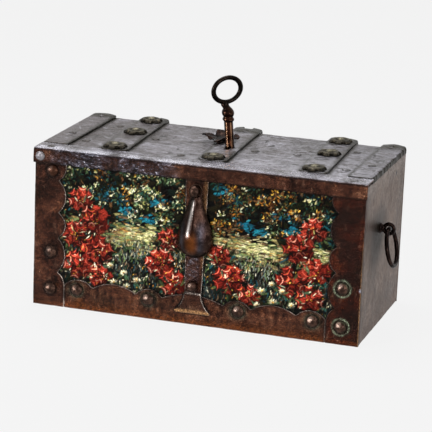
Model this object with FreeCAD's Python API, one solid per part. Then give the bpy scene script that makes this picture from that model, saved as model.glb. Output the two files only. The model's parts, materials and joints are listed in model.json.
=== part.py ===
import FreeCAD, Part
import math
import os

# A small riveted iron coffer with a flat lid, a painted front and a five-headed lock in the lid.
# Millimetres. X runs along the front, -Y faces the viewer, Z is up.
# The origin is the middle of the underside. The bolts are drawn back, so the lid is free to open.

# Overall sizes
body_width = 340.0
body_depth = 164.0
body_height = 162.0

# Sheet and strap thicknesses
wall_sheet = 2.0
base_sheet = 2.0
lid_sheet = 2.5
front_strap_sheet = 1.8
lid_strap_sheet = 2.5
band_sheet = 1.8
leaf_sheet = 2.0

# Clearances
lid_gap = 0.3
slip_gap = 0.3
seam_gap = 0.2
pin_fit = 0.05
rivet_fit = 0.05

# Box inside
foot_bar_top = 14.0
angle_leg = 16.0
angle_sheet = 1.5
rim_drop = 14.0
rim_lip = 9.0
rim_sheet = 2.0

# Front straps: lobes run upwards from the base strap, and outwards from the middle
corner_strap_width = 33.5
corner_scallop = 7.5
corner_lobes = (12.0, 36.0, 26.0, 33.0, 28.0)
corner_first_swell = 1.9
base_strap_height = 31.0
base_scallop = 7.0
base_lobes = (32.0, 28.0, 46.0, 30.3)
centre_strap_top_width = 24.0
centre_strap_waist_width = 17.5
foot_width = 37.0
foot_rise = 12.0
foot_side = 2.0
flare_width_share = 0.28
flare_rise_share = 0.42
joggle_rise = 2.5

# Front rivets and studs
rivet_head_radius = 6.5
rivet_head_height = 3.6
rivet_shank_radius = 2.0
corner_rivet_inset = 18.5
corner_rivet_low = 18.0
corner_rivet_middle = 57.0
corner_rivet_below_band = 0.7
base_rivet_rise = 20.0
base_rivet_shares = (0.345, 0.9025)
stud_ball_radius = 5.8
stud_ball_offset = 3.6
stud_shank_radius = 2.6
low_stud_above_base = 10.0

# Drop cover on the front
drop_pivot_below_lid = 23.5
drop_tip_above_stud = 28.5
drop_half_width = 18.7
drop_depth = 12.0
# shares of the length above the tip, of the half width and of the depth, then the flank's fullness
drop_sections = (
    (0.005, 0.19, 0.22, 0.70),
    (0.05, 0.61, 0.53, 0.70),
    (0.13, 0.91, 0.83, 0.68),
    (0.26, 1.00, 1.00, 0.66),
    (0.40, 0.94, 0.93, 0.63),
    (0.54, 0.78, 0.77, 0.61),
    (0.69, 0.57, 0.58, 0.60),
    (0.80, 0.44, 0.46, 0.60),
    (0.91, 0.35, 0.37, 0.60),
)
drop_lug_radius = 6.5
drop_lug_sheet = 2.0
drop_wall = 2.2
blind_eye_rise = 19.0
blind_hole_radius = 3.2
blind_slot_width = 3.4
blind_slot_length = 11.0

# Lid band, straps and heads
band_height = 14.0
band_top_leg = 24.0
band_bend = 3.0
lid_end_overhang = 1.5
edge_strap_width = 25.0
edge_lip_height = 6.5
edge_bend = 2.5
lid_strap_width = 29.0
lid_strap_share = 0.606
lid_strap_skew = 6.5
lid_strap_corner = 6.0
rosette_radius = 10.5
rosette_height = 5.0
rosette_eye_radius = 4.2
petal_height = 3.4
petal_root_height = 2.4
rosette_petals = 6
petal_notch_radius = 2.4
rosette_end_inset = 9.5
rosette_middle_y = 16.0
flat_head_radius = 4.8
flat_head_height = 1.2
band_head_radius = 5.4
band_head_height = 1.6
band_rivet_inset = 6.0
band_top_rivet_inset = 9.0
band_top_rivet_end = 14.0
edge_rivet_front_y = -14.0
edge_rivet_back_inset = 10.0
# shares of the lock plate's half width, and of its depth from the front
lock_pair_shares = ((0.877, 0.28), (0.826, 0.876), (0.484, 0.58))
lock_single_shares = ((-0.19, 0.163), (0.21, 0.542))

# Lid hinges
knuckle_radius = 4.5
hinge_pin_radius = 2.0
leaf_length = 96.0
leaf_point = 16.0
leaf_tip_width_share = 0.65
leaf_tip_rise_share = 0.35
leaf_rivet_top = 14.0
leaf_rivet_bottom = 18.0
leaf_rivet_count = 3

# Lock plate and bolts
lock_sheet = 2.5
lock_margin = 4.0
lock_back_margin = 9.0
bolt_bar = 4.0
bolt_travel = 14.0
bolt_end_gap = 1.2
head_width = 16.0
head_share = 0.626
cross_bar_width = 10.0
drive_bar_width = 12.0
spine_left = 8.0
spine_width = 16.0
tail_inset = 2.0
talon_play = 0.5
staple_sheet = 1.5
staple_width = 5.0
tail_staple_gap = 6.0
tail_reserve = 4.0
end_staple_share = 0.613

# Bell cranks
crank_place_share = 0.4516
crank_depth_share = 0.371
crank_long = 28.0
crank_short = 18.0
crank_sheet = 3.0
crank_hub_radius = 8.0
crank_tip_radius = 6.0
crank_pin_radius = 3.0
crank_pin_head_radius = 5.0
crank_pin_head = 1.5
drive_pin_radius = 2.5
slot_play = 0.45
slot_reach = 1.2

# Key, its bridge and the drag spring
key_turn = 80.0
key_place = 6.5
stem_radius = 4.6
stem_drop = 8.0
key_tip_radius = 3.0
bit_reach = 13.0
bit_thickness = 4.0
bit_height = 6.0
ward_cut = 1.6
keyhole_play = 0.5
bow_half_height = 13.3
bow_half_width = 14.5
bow_wire = 2.5
key_height = 75.0
neck_radius = 3.7
collar_rise_share = 0.62
collar_pitch = 5.7
upper_collar_radius = 6.3
upper_collar_end = 4.7
collar_top_radius = 4.7
lower_collar_radius = 6.0
lower_collar_start = 2.1
lower_collar_end = 1.7
collar_waist_radius = 5.0
bridge_sheet = 2.0
bridge_width = 12.0
bridge_foot = 6.0
bridge_left = 19.5
spring_room = 11.5
spring_sheet = 1.2
spring_bow = 5.0
spring_post = 5.0
spring_end_gap = 3.0

# Keyhole cover
cover_eye_radius = 7.0
cover_lobe_length = 19.5
cover_lobe_half_width = 7.5
cover_lobe_root = 4.5
cover_sheet = 1.5
cover_lug_radius = 5.0
cover_pivot_x = -8.5
cover_pivot_y = 9.5
cover_open_angle = 100.0
cover_rivet_radius = 2.0
cover_head_radius = 4.2
cover_head_height = 2.2

# Ring handles
ring_radius = 18.7
ring_wire = 2.2
ring_tilt = 12.0
eye_rise_share = 0.636
eye_y = -14.0
eye_inner_radius = 3.0
eye_wire = 1.9
eye_collar_radius = 5.5
eye_collar_height = 2.5
eye_neck_radius = 2.4
eye_stand_off = 8.5

# Places that follow from the sizes above
half_width = body_width / 2
half_depth = body_depth / 2
lid_top = body_height
lid_under = lid_top - lid_sheet
wall_top = lid_under - lid_gap
strap_face = -half_depth - front_strap_sheet
band_inner = strap_face - slip_gap
band_outer = band_inner - band_sheet
lid_back = half_depth - slip_gap
lid_strap_top = lid_top + lid_strap_sheet
lid_strap_front = band_outer + band_top_leg + seam_gap
hinge_y = half_depth + knuckle_radius + slip_gap
hinge_z = lid_strap_top - knuckle_radius
knuckle_length = (lid_strap_width - 2 * slip_gap) / 3
lock_under = lid_under - lock_sheet
bolt_top = lock_under - slip_gap
bolt_bottom = bolt_top - bolt_bar
crank_top = bolt_bottom - slip_gap
crank_bottom = crank_top - crank_sheet
inner_half_width = half_width - wall_sheet
inner_half_depth = half_depth - wall_sheet
base_strap_end = half_width - corner_strap_width - seam_gap
corner_rivet_high = lid_top - band_height - corner_rivet_below_band - rivet_head_radius
low_stud_rise = base_strap_height + low_stud_above_base
drop_pivot_rise = lid_top - drop_pivot_below_lid
drop_length = drop_pivot_rise - low_stud_rise - drop_tip_above_stud
lid_strap_spacing = half_width * lid_strap_share
eye_rise = body_height * eye_rise_share
lock_front = -(inner_half_depth - rim_lip - lock_margin)
lock_back = inner_half_depth - rim_lip - lock_back_margin
lock_half_width = inner_half_width - rim_lip - lock_margin
head_spacing = lock_half_width * head_share
end_staple_inner = lock_half_width * end_staple_share
crank_pivot_x = lock_half_width * crank_place_share
crank_pivot_y = lock_back * crank_depth_share
end_travel = bolt_travel * crank_short / crank_long
front_bolt_end = -(inner_half_depth - rim_sheet - bolt_end_gap) + bolt_travel
end_bolt_end = inner_half_width - rim_sheet - bolt_end_gap - end_travel
end_bolt_y = crank_pivot_y - crank_short
drive_pin_x = crank_pivot_x - crank_long
drive_pin_y = crank_pivot_y + bolt_travel / 2
end_pin_x = crank_pivot_x - end_travel / 2
crank_half_swing = math.degrees(bolt_travel / 2 / crank_long)
spine_near = key_place + spine_left
spine_far = spine_near + spine_width
cover_arm = math.hypot(key_place - cover_pivot_x, cover_pivot_y)
bit_top = bolt_top
bit_bottom = bit_top - bit_height
stem_bottom = lock_under - stem_drop
bridge_top = stem_bottom - slip_gap
bridge_bottom = bridge_top - bridge_sheet
bridge_right = spine_far + spring_room
drop_back = strap_face - slip_gap
drop_front = drop_back - drop_lug_sheet

axis_x = FreeCAD.Vector(1, 0, 0)
axis_y = FreeCAD.Vector(0, 1, 0)
axis_z = FreeCAD.Vector(0, 0, 1)
origin = FreeCAD.Vector(0, 0, 0)
# how far the middle of a quarter arc lies inside its square corner, for a radius of one
corner_cut = 1 - math.sqrt(1 / 2)


def block(x0, x1, y0, y1, z0, z1):
    return Part.makeBox(x1 - x0, y1 - y0, z1 - z0, FreeCAD.Vector(x0, y0, z0))


def round_bar(radius, start, direction, length):
    return Part.makeCylinder(radius, length, FreeCAD.Vector(*start), direction)


def line(start, end):
    return Part.LineSegment(FreeCAD.Vector(*start), FreeCAD.Vector(*end)).toShape()


def arc(start, middle, end):
    points = [FreeCAD.Vector(*p) for p in (start, middle, end)]
    return Part.Arc(*points).toShape()


def plate(edges, thickness):
    return Part.Face(Part.Wire(edges)).extrude(thickness)


def turned(edges):
    return Part.Face(Part.Wire(edges)).revolve(origin, axis_z, 360)


def placed(shape, place, direction):
    copy = shape.copy()
    turn = FreeCAD.Rotation(axis_z, direction)
    copy.Placement = FreeCAD.Placement(FreeCAD.Vector(*place), turn)
    return copy


def mirrored(shape):
    return shape.mirror(origin, axis_x)


def both_sides(shape):
    return [shape, mirrored(shape)]


def export(name, *shapes):
    solids = [solid for shape in shapes for solid in shape.Solids]
    Part.makeCompound(solids).exportStep(f"parts/{name}.step")


# Rivets and studs

def cap_arc(radius, low, height):
    # the outline of a spherical cap, from its rim up to the axis
    ball = (radius ** 2 + height ** 2) / (2 * height)
    half = math.asin(radius / ball) / 2
    top = low + height
    middle = (ball * math.sin(half), 0, top - ball * (1 - math.cos(half)))
    return arc((radius, 0, low), middle, (0, 0, top))


def dome_rivet(radius, height, shank_radius, grip):
    # a domed head standing on Z = 0, with a flush shank through the grip below it
    return turned([
        line((0, 0, -grip), (shank_radius, 0, -grip)),
        line((shank_radius, 0, -grip), (shank_radius, 0, 0)),
        line((shank_radius, 0, 0), (radius, 0, 0)),
        cap_arc(radius, 0, height),
        line((0, 0, height), (0, 0, -grip)),
    ])


def ball_stud(grip):
    # a ball head cut flat where it meets the strap
    seat_radius = math.sqrt(stud_ball_radius ** 2 - stud_ball_offset ** 2)
    top = stud_ball_offset + stud_ball_radius
    return turned([
        line((0, 0, -grip), (stud_shank_radius, 0, -grip)),
        line((stud_shank_radius, 0, -grip), (stud_shank_radius, 0, 0)),
        line((stud_shank_radius, 0, 0), (seat_radius, 0, 0)),
        arc((seat_radius, 0, 0), (stud_ball_radius, 0, stud_ball_offset), (0, 0, top)),
        line((0, 0, top), (0, 0, -grip)),
    ])


def rosette(grip):
    # a low ring notched into petals, with a raised eye in the middle
    bulge = (rosette_radius + rosette_eye_radius) / 2
    head = turned([
        line((0, 0, -grip), (rivet_shank_radius, 0, -grip)),
        line((rivet_shank_radius, 0, -grip), (rivet_shank_radius, 0, 0)),
        line((rivet_shank_radius, 0, 0), (rosette_radius, 0, 0)),
        arc((rosette_radius, 0, 0), (bulge, 0, petal_height), (rosette_eye_radius, 0, petal_root_height)),
        cap_arc(rosette_eye_radius, petal_root_height, rosette_height - petal_root_height),
        line((0, 0, rosette_height), (0, 0, -grip)),
    ])
    for petal in range(rosette_petals):
        angle = 2 * math.pi * petal / rosette_petals
        notch = (rosette_radius * math.cos(angle), rosette_radius * math.sin(angle), 0)
        head = head.cut(round_bar(petal_notch_radius, notch, axis_z, rosette_height))
    return head


def drilled(shape, places, direction, radius):
    reach = body_width + body_depth
    for place in places:
        start = FreeCAD.Vector(*place) - direction * (reach / 2)
        shape = shape.cut(Part.makeCylinder(radius, reach, start, direction))
    return shape


# Places of the rivets

def corner_rivet_places():
    x = half_width - corner_rivet_inset
    places = [(side * x, strap_face, rise)
              for side in (-1, 1) for rise in (corner_rivet_low, corner_rivet_middle)]
    return places + [(-x, strap_face, corner_rivet_high)]


def base_rivet_places():
    return [(side * share * base_strap_end, strap_face, base_rivet_rise)
            for side in (-1, 1) for share in base_rivet_shares]


def leaf_rivet_places(centre):
    top = hinge_z - knuckle_radius - slip_gap - leaf_rivet_top
    spacing = (leaf_length - leaf_rivet_top - leaf_rivet_bottom) / (leaf_rivet_count - 1)
    return [(centre, half_depth + leaf_sheet, top - row * spacing) for row in range(leaf_rivet_count)]


def eye_places():
    return [(side * half_width, eye_y, eye_rise) for side in (-1, 1)]


def strap_shift(y):
    # the lid straps lean: their front ends stand further along +X than their hinge ends
    return lid_strap_skew * (lid_back - y) / (lid_back - lid_strap_front)


def rosette_places(centre):
    front = lid_strap_front + rosette_end_inset
    back = lid_back - rosette_end_inset
    rows = (front,) if centre == 0 else (front, rosette_middle_y, back)
    return [(centre + strap_shift(y), y, lid_strap_top) for y in rows]


def middle_back_rivet():
    y = lid_back - rosette_end_inset
    return (strap_shift(y), y, lid_strap_top)


def band_top_places():
    y = band_outer + band_top_rivet_inset
    x = half_width - band_top_rivet_end
    return [(side * x, y, lid_top + band_sheet) for side in (-1, 1)]


def edge_rivet_places():
    x = half_width - edge_strap_width / 2
    rows = (edge_rivet_front_y, lid_back - edge_rivet_back_inset)
    return [(side * x, y, lid_strap_top) for side in (-1, 1) for y in rows]


def lock_rivet_list():
    depth = lock_back - lock_front
    shares = [(side * x, y) for side in (-1, 1) for x, y in lock_pair_shares] + list(lock_single_shares)
    return [(x * lock_half_width, lock_front + y * depth, lid_top) for x, y in shares]


strap_centres = (-lid_strap_spacing, 0, lid_strap_spacing)
drop_pivot = (0, strap_face, drop_pivot_rise)
low_stud = (0, strap_face, low_stud_rise)
cover_pivot = (cover_pivot_x, cover_pivot_y, lid_strap_top)
band_rivet = (-half_width + band_rivet_inset, band_outer, lid_top - band_height / 2)


# Box

def base_plate():
    return block(-inner_half_width, inner_half_width, -inner_half_depth, inner_half_depth, 0, base_sheet)


def foot_bars():
    # flat bars on edge round the base plate, against the feet of the walls
    x = inner_half_width
    y = inner_half_depth
    front = block(-x, x, -y, -y + base_sheet, base_sheet, foot_bar_top)
    end = block(x - base_sheet, x, -y + base_sheet, y - base_sheet, base_sheet, foot_bar_top)
    return [front, front.mirror(origin, axis_y), end, mirrored(end)]


def front_plate():
    sheet = block(-half_width, half_width, -half_depth, -inner_half_depth, 0, wall_top)
    rivets = corner_rivet_places() + base_rivet_places()
    sheet = drilled(sheet, rivets, axis_y, rivet_shank_radius + rivet_fit)
    return drilled(sheet, [drop_pivot, low_stud], axis_y, stud_shank_radius + rivet_fit)


def back_plate():
    sheet = block(-half_width, half_width, inner_half_depth, half_depth, 0, wall_top)
    rivets = [place for centre in strap_centres for place in leaf_rivet_places(centre)]
    return drilled(sheet, rivets, axis_y, rivet_shank_radius + rivet_fit)


def right_side_plate():
    sheet = block(inner_half_width, half_width, -inner_half_depth, inner_half_depth, 0, wall_top)
    return drilled(sheet, eye_places(), axis_x, eye_neck_radius + rivet_fit)


def corner_angles():
    angles = []
    x = inner_half_width
    y = inner_half_depth
    for back in (-1, 1):
        low, high = sorted((back * (y - angle_leg), back * y))
        leg = block(x - angle_sheet, x, low, high, foot_bar_top, wall_top - rim_drop)
        low, high = sorted((back * (y - angle_sheet), back * y))
        leg = leg.fuse(block(x - angle_leg, x, low, high, foot_bar_top, wall_top - rim_drop))
        angles += both_sides(leg.removeSplitter())
    return angles


def catch_rim():
    # angle bars round the mouth: the bolts are thrown under their lips
    x = inner_half_width
    y = inner_half_depth
    lip_low = wall_top - rim_sheet
    drop_low = wall_top - rim_drop
    front = block(-x, x, -y, -y + rim_sheet, drop_low, wall_top)
    front = front.fuse(block(-x, x, -y, -y + rim_lip, lip_low, wall_top)).removeSplitter()
    end = block(x - rim_sheet, x, -y + rim_sheet, y - rim_sheet, drop_low, wall_top)
    end = end.cut(block(-x, x, -y, -y + rim_lip, lip_low, wall_top))
    end = end.cut(block(-x, x, y - rim_lip, y, lip_low, wall_top))
    end = end.fuse(block(x - rim_lip, x, -y + rim_lip, y - rim_lip, lip_low, wall_top)).removeSplitter()
    return [front, front.mirror(origin, axis_y), end, mirrored(end)]


# Front straps

def corner_strap(side):
    # a straight outer edge, and lobes that meet in cusps along the inner edge
    crest = half_width - corner_strap_width
    cusp = crest + corner_scallop
    foot = base_strap_height - base_scallop
    share = (wall_top - foot) / sum(corner_lobes)
    y = -half_depth
    edges = [
        line((half_width, y, 0), (crest, y, 0)),
        line((crest, y, 0), (crest, y, foot)),
    ]
    start = crest
    swell = (crest + cusp) / 2 - corner_first_swell
    low = foot
    for lobe in corner_lobes:
        high = low + lobe * share
        edges.append(arc((start, y, low), (swell, y, (low + high) / 2), (cusp, y, high)))
        start = cusp
        swell = crest
        low = high
    edges.append(line((cusp, y, wall_top), (half_width, y, wall_top)))
    edges.append(line((half_width, y, wall_top), (half_width, y, 0)))
    strap = plate(edges, -axis_y * front_strap_sheet)
    if side < 0:
        strap = mirrored(strap)
    rivets = [place for place in corner_rivet_places() if place[0] * side > 0]
    return drilled(strap, rivets, axis_y, rivet_shank_radius + rivet_fit)


def base_strap():
    end = base_strap_end
    share = end / sum(base_lobes)
    cusp = base_strap_height - base_scallop
    y = -half_depth
    stations = [sum(base_lobes[:count + 1]) * share for count in range(len(base_lobes))]
    stations = [-x for x in reversed(stations)] + stations
    edges = [
        line((end, y, cusp), (end, y, 0)),
        line((end, y, 0), (-end, y, 0)),
        line((-end, y, 0), (-end, y, cusp)),
    ]
    for left, right in zip(stations, stations[1:]):
        middle = ((left + right) / 2, y, base_strap_height)
        edges.append(arc((left, y, cusp), middle, (right, y, cusp)))
    strap = plate(edges, -axis_y * front_strap_sheet)
    return drilled(strap, base_rivet_places(), axis_y, rivet_shank_radius + rivet_fit)


def centre_strap():
    # tapers down to a waist, steps over the base strap and flares into a foot
    joggle_low = base_strap_height + slip_gap
    waist_rise = joggle_low + joggle_rise
    back = -half_depth
    top = centre_strap_top_width / 2
    waist = centre_strap_waist_width / 2
    foot = foot_width / 2
    side_top = foot_rise + foot_side
    bend_x = waist + (foot - waist) * flare_width_share
    bend_rise = side_top + (waist_rise - side_top) * flare_rise_share
    outline = [
        line((-top, back, wall_top), (top, back, wall_top)),
        line((top, back, wall_top), (waist, back, waist_rise)),
        arc((waist, back, waist_rise), (bend_x, back, bend_rise), (foot, back, side_top)),
        line((foot, back, side_top), (foot, back, foot_rise)),
        line((foot, back, foot_rise), (-foot, back, foot_rise)),
        line((-foot, back, foot_rise), (-foot, back, side_top)),
        arc((-foot, back, side_top), (-bend_x, back, bend_rise), (-waist, back, waist_rise)),
        line((-waist, back, waist_rise), (-top, back, wall_top)),
    ]
    blank = plate(outline, -axis_y * (2 * front_strap_sheet))
    x = -foot
    step = front_strap_sheet
    section = [(x, back, wall_top), (x, back, waist_rise), (x, back - step, joggle_low),
               (x, back - step, foot_rise), (x, back - 2 * step, foot_rise),
               (x, back - 2 * step, joggle_low), (x, back - step, waist_rise),
               (x, back - step, wall_top)]
    sides = [line(a, b) for a, b in zip(section, section[1:] + section[:1])]
    strap = blank.common(plate(sides, axis_x * foot_width))
    strap = drilled(strap, [drop_pivot, low_stud], axis_y, stud_shank_radius + rivet_fit)
    eye = drop_pivot_rise - drop_length + blind_eye_rise
    eye_hole = round_bar(blind_hole_radius, (0, back, eye), -axis_y, step)
    half_slot = blind_slot_width / 2
    slot = block(-half_slot, half_slot, back - step, back, eye - blind_slot_length, eye)
    return strap.cut(eye_hole).cut(slot)


def front_rivets():
    grip = wall_sheet + front_strap_sheet
    rivet = dome_rivet(rivet_head_radius, rivet_head_height, rivet_shank_radius, grip)
    return [placed(rivet, place, -axis_y) for place in corner_rivet_places() + base_rivet_places()]


def drop_cover_stud():
    lug_room = drop_lug_sheet + 2 * slip_gap
    stud = ball_stud(wall_sheet + front_strap_sheet + lug_room)
    return placed(stud, (0, strap_face - lug_room, drop_pivot_rise), -axis_y)


def centre_strap_stud():
    return placed(ball_stud(wall_sheet + front_strap_sheet), low_stud, -axis_y)


# Drop cover: a hollow pear-shaped shell with a soft ridge, under a flat lug

def pear(sections, wall):
    # lofted through roof-shaped sections whose flanks are arcs
    wires = []
    for rise_share, width_share, depth_share, fullness in sections:
        z = drop_pivot_rise - drop_length * (1 - rise_share)
        x = drop_half_width * width_share - wall
        front = drop_back - drop_depth * depth_share + wall
        middle_x = x * fullness
        middle_y = drop_back + (front - drop_back) * fullness
        wires.append(Part.Wire([
            line((x, drop_back, z), (-x, drop_back, z)),
            arc((-x, drop_back, z), (-middle_x, middle_y, z), (0, front, z)),
            arc((0, front, z), (middle_x, middle_y, z), (x, drop_back, z)),
        ]))
    return Part.makeLoft(wires, True)


def drop_cover():
    shell = pear(drop_sections, 0).cut(pear(drop_sections[1:-1], drop_wall))
    lug = round_bar(drop_lug_radius, (0, drop_back, drop_pivot_rise), -axis_y, drop_lug_sheet)
    neck_low = drop_pivot_rise - 2 * drop_lug_radius
    neck = block(-drop_lug_radius, drop_lug_radius, drop_front, drop_back, neck_low, drop_pivot_rise)
    cover = shell.fuse([lug, neck]).removeSplitter()
    return drilled(cover, [drop_pivot], axis_y, stud_shank_radius + pin_fit)


# Hinges

def knuckle(centre, length):
    start = (centre - length / 2, hinge_y, hinge_z)
    return round_bar(knuckle_radius, start, axis_x, length)


def pin_bore(centre):
    start = (centre - lid_strap_width, hinge_y, hinge_z)
    return round_bar(hinge_pin_radius + pin_fit, start, axis_x, 2 * lid_strap_width)


def hinge_leaf(centre):
    shoulder = hinge_z - knuckle_radius - slip_gap
    low = shoulder - leaf_length
    x = lid_strap_width / 2
    y = half_depth
    point = (centre, y, low)
    flank = low + leaf_point
    tip_x = x * leaf_tip_width_share
    tip_rise = low + leaf_point * leaf_tip_rise_share
    edges = [
        line((centre - x, y, shoulder), (centre + x, y, shoulder)),
        line((centre + x, y, shoulder), (centre + x, y, flank)),
        arc((centre + x, y, flank), (centre + tip_x, y, tip_rise), point),
        arc(point, (centre - tip_x, y, tip_rise), (centre - x, y, flank)),
        line((centre - x, y, flank), (centre - x, y, shoulder)),
    ]
    leaf = plate(edges, axis_y * leaf_sheet)
    half_knuckle = knuckle_length / 2
    tongue = block(centre - half_knuckle, centre + half_knuckle, y, y + leaf_sheet, shoulder, hinge_z)
    leaf = leaf.fuse([tongue, knuckle(centre, knuckle_length)]).removeSplitter()
    leaf = leaf.cut(pin_bore(centre))
    return drilled(leaf, leaf_rivet_places(centre), axis_y, rivet_shank_radius + rivet_fit)


def back_rivets():
    rivet = dome_rivet(flat_head_radius, flat_head_height, rivet_shank_radius, wall_sheet + leaf_sheet)
    places = [place for centre in strap_centres for place in leaf_rivet_places(centre)]
    return [placed(rivet, place, axis_y) for place in places]


def hinge_pin(centre):
    start = (centre - lid_strap_width / 2, hinge_y, hinge_z)
    return round_bar(hinge_pin_radius, start, axis_x, lid_strap_width)


# Lid

def keyhole():
    # a round hole for the stem with a slot towards the front for the bit
    low = lock_under
    depth = lid_strap_top - low
    hole = round_bar(stem_radius + keyhole_play, (key_place, 0, low), axis_z, depth)
    half_slot = bit_thickness / 2 + keyhole_play
    slot = block(key_place - half_slot, key_place + half_slot, -bit_reach - keyhole_play, 0, low, low + depth)
    return hole.fuse(slot)


def lid_plate():
    sheet = block(-half_width, half_width, band_inner, lid_back, lid_under, lid_top)
    heads = [place for centre in strap_centres for place in rosette_places(centre)]
    heads = heads + edge_rivet_places() + lock_rivet_list() + band_top_places() + [middle_back_rivet()]
    sheet = drilled(sheet, heads, axis_z, rivet_shank_radius + rivet_fit)
    sheet = drilled(sheet, [cover_pivot], axis_z, cover_rivet_radius + rivet_fit)
    return sheet.cut(keyhole())


def lid_front_band():
    # an angle bar: one leg on the lid, one hanging in front, with a rounded bend
    x = half_width + lid_end_overhang
    top = lid_top + band_sheet
    low = lid_top - band_height
    back = band_outer + band_top_leg
    corner = band_bend * corner_cut
    edges = [
        line((-x, band_outer, low), (-x, band_outer, top - band_bend)),
        arc((-x, band_outer, top - band_bend),
            (-x, band_outer + corner, top - corner),
            (-x, band_outer + band_bend, top)),
        line((-x, band_outer + band_bend, top), (-x, back, top)),
        line((-x, back, top), (-x, back, lid_top)),
        line((-x, back, lid_top), (-x, band_inner, lid_top)),
        line((-x, band_inner, lid_top), (-x, band_inner, low)),
        line((-x, band_inner, low), (-x, band_outer, low)),
    ]
    band = plate(edges, axis_x * (2 * x))
    band = drilled(band, band_top_places(), axis_z, rivet_shank_radius + rivet_fit)
    return drilled(band, [band_rivet], axis_y, rivet_shank_radius + rivet_fit)


def band_rivet_head():
    rivet = dome_rivet(band_head_radius, band_head_height, rivet_shank_radius, band_sheet)
    return placed(rivet, band_rivet, -axis_y)


def right_edge_strap():
    # lies along the end of the lid and turns down over its edge
    inner = half_width - edge_strap_width
    outer = half_width + lid_end_overhang
    wall_side = half_width + seam_gap
    low = lid_strap_top - edge_lip_height
    corner = edge_bend * corner_cut
    y = lid_strap_front
    edges = [
        line((inner, y, lid_top), (wall_side, y, lid_top)),
        line((wall_side, y, lid_top), (wall_side, y, low)),
        line((wall_side, y, low), (outer, y, low)),
        line((outer, y, low), (outer, y, lid_strap_top - edge_bend)),
        arc((outer, y, lid_strap_top - edge_bend), (outer - corner, y, lid_strap_top - corner),
            (outer - edge_bend, y, lid_strap_top)),
        line((outer - edge_bend, y, lid_strap_top), (inner, y, lid_strap_top)),
        line((inner, y, lid_strap_top), (inner, y, lid_top)),
    ]
    return plate(edges, axis_y * (lid_back - lid_strap_front))


def edge_strap(side):
    strap = right_edge_strap()
    if side < 0:
        strap = mirrored(strap)
    rivets = [place for place in edge_rivet_places() if place[0] * side > 0]
    return drilled(strap, rivets, axis_z, rivet_shank_radius + rivet_fit)


def lid_strap(centre):
    x0 = centre - lid_strap_width / 2
    x1 = centre + lid_strap_width / 2
    front_x = centre + lid_strap_skew
    outline = [
        (x0, hinge_y, lid_top),
        (x0, lid_back, lid_top),
        (x0 + lid_strap_skew, lid_strap_front, lid_top),
        (x1 + lid_strap_skew, lid_strap_front, lid_top),
        (x1, lid_back, lid_top),
        (x1, hinge_y, lid_top),
    ]
    edges = [line(start, end) for start, end in zip(outline, outline[1:] + outline[:1])]
    bar = plate(edges, axis_z * lid_strap_sheet)
    front_corners = [edge for edge in bar.Edges
                     if abs(edge.CenterOfMass.y - lid_strap_front) < seam_gap
                     and abs(edge.CenterOfMass.x - front_x) > lid_strap_width / 4]
    bar = bar.makeFillet(lid_strap_corner, front_corners)
    bar = bar.fuse(knuckle(centre, lid_strap_width)).removeSplitter()
    room = knuckle_length / 2 + slip_gap
    bar = bar.cut(block(centre - room, centre + room, lid_back, hinge_y + knuckle_radius,
                        hinge_z - knuckle_radius, lid_strap_top))
    bar = bar.cut(pin_bore(centre))
    bar = drilled(bar, rosette_places(centre), axis_z, rivet_shank_radius + rivet_fit)
    if centre == 0:
        bar = drilled(bar, [middle_back_rivet()], axis_z, rivet_shank_radius + rivet_fit)
        bar = drilled(bar, [cover_pivot], axis_z, cover_rivet_radius + rivet_fit)
        bar = bar.cut(keyhole())
    return bar


def lid_rosettes():
    head = rosette(lid_strap_sheet + lid_sheet)
    places = [place for centre in strap_centres for place in rosette_places(centre)]
    return [placed(head, place, axis_z) for place in places]


def flat_rivets(places, grip):
    rivet = dome_rivet(flat_head_radius, flat_head_height, rivet_shank_radius, grip)
    return [placed(rivet, place, axis_z) for place in places]


def lid_rivets():
    strap_heads = flat_rivets(edge_rivet_places() + [middle_back_rivet()], lid_strap_sheet + lid_sheet)
    band_heads = flat_rivets(band_top_places(), band_sheet + lid_sheet)
    return strap_heads + band_heads + flat_rivets(lock_rivet_list(), lid_sheet + lock_sheet)


# Keyhole cover, swung aside

def pointed_lobe(low):
    # a leaf along +X, from its root to a point
    root = cover_lobe_root
    swell_x = cover_lobe_length / 2
    swell_y = cover_lobe_half_width
    tip = (cover_lobe_length, 0, low)
    return plate([
        line((0, root, low), (0, -root, low)),
        arc((0, -root, low), (swell_x, -swell_y, low), tip),
        arc(tip, (swell_x, swell_y, low), (0, root, low)),
    ], axis_z * cover_sheet)


def keyhole_cover():
    low = lid_strap_top + slip_gap
    open_way = math.radians(cover_open_angle)
    x = cover_pivot_x + cover_arm * math.cos(open_way)
    y = cover_pivot_y + cover_arm * math.sin(open_way)
    cover = round_bar(cover_eye_radius, (0, 0, low), axis_z, cover_sheet)
    cover = cover.fuse(round_bar(cover_lug_radius, (-cover_arm, 0, low), axis_z, cover_sheet))
    for quarter in range(4):
        lobe = pointed_lobe(low)
        lobe.rotate(origin, axis_z, quarter * 90)
        cover = cover.fuse(lobe)
    cover = cover.removeSplitter()
    cover.rotate(origin, axis_z, cover_open_angle)
    cover.translate(FreeCAD.Vector(x, y, 0))
    return drilled(cover, [cover_pivot], axis_z, cover_rivet_radius + pin_fit)


def cover_rivet():
    room = cover_sheet + 2 * slip_gap
    rivet = dome_rivet(cover_head_radius, cover_head_height, cover_rivet_radius,
                       room + lid_strap_sheet + lid_sheet)
    return placed(rivet, (cover_pivot_x, cover_pivot_y, lid_strap_top + room), axis_z)


# Key

def oval_ring(half_width, half_height, wire, rise):
    # a round wire bent to an oval in the XZ plane
    centre = FreeCAD.Vector(0, 0, rise)
    side = centre + axis_x * half_width
    oval = Part.Ellipse(side, centre + axis_z * half_height, centre)
    halves = [Part.ArcOfEllipse(oval, start, start + math.pi).toShape() for start in (0, math.pi)]
    section = Part.Circle(side, axis_z, wire).toShape()
    return Part.Wire(halves).makePipeShell([Part.Wire([section])], True, False)


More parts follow.
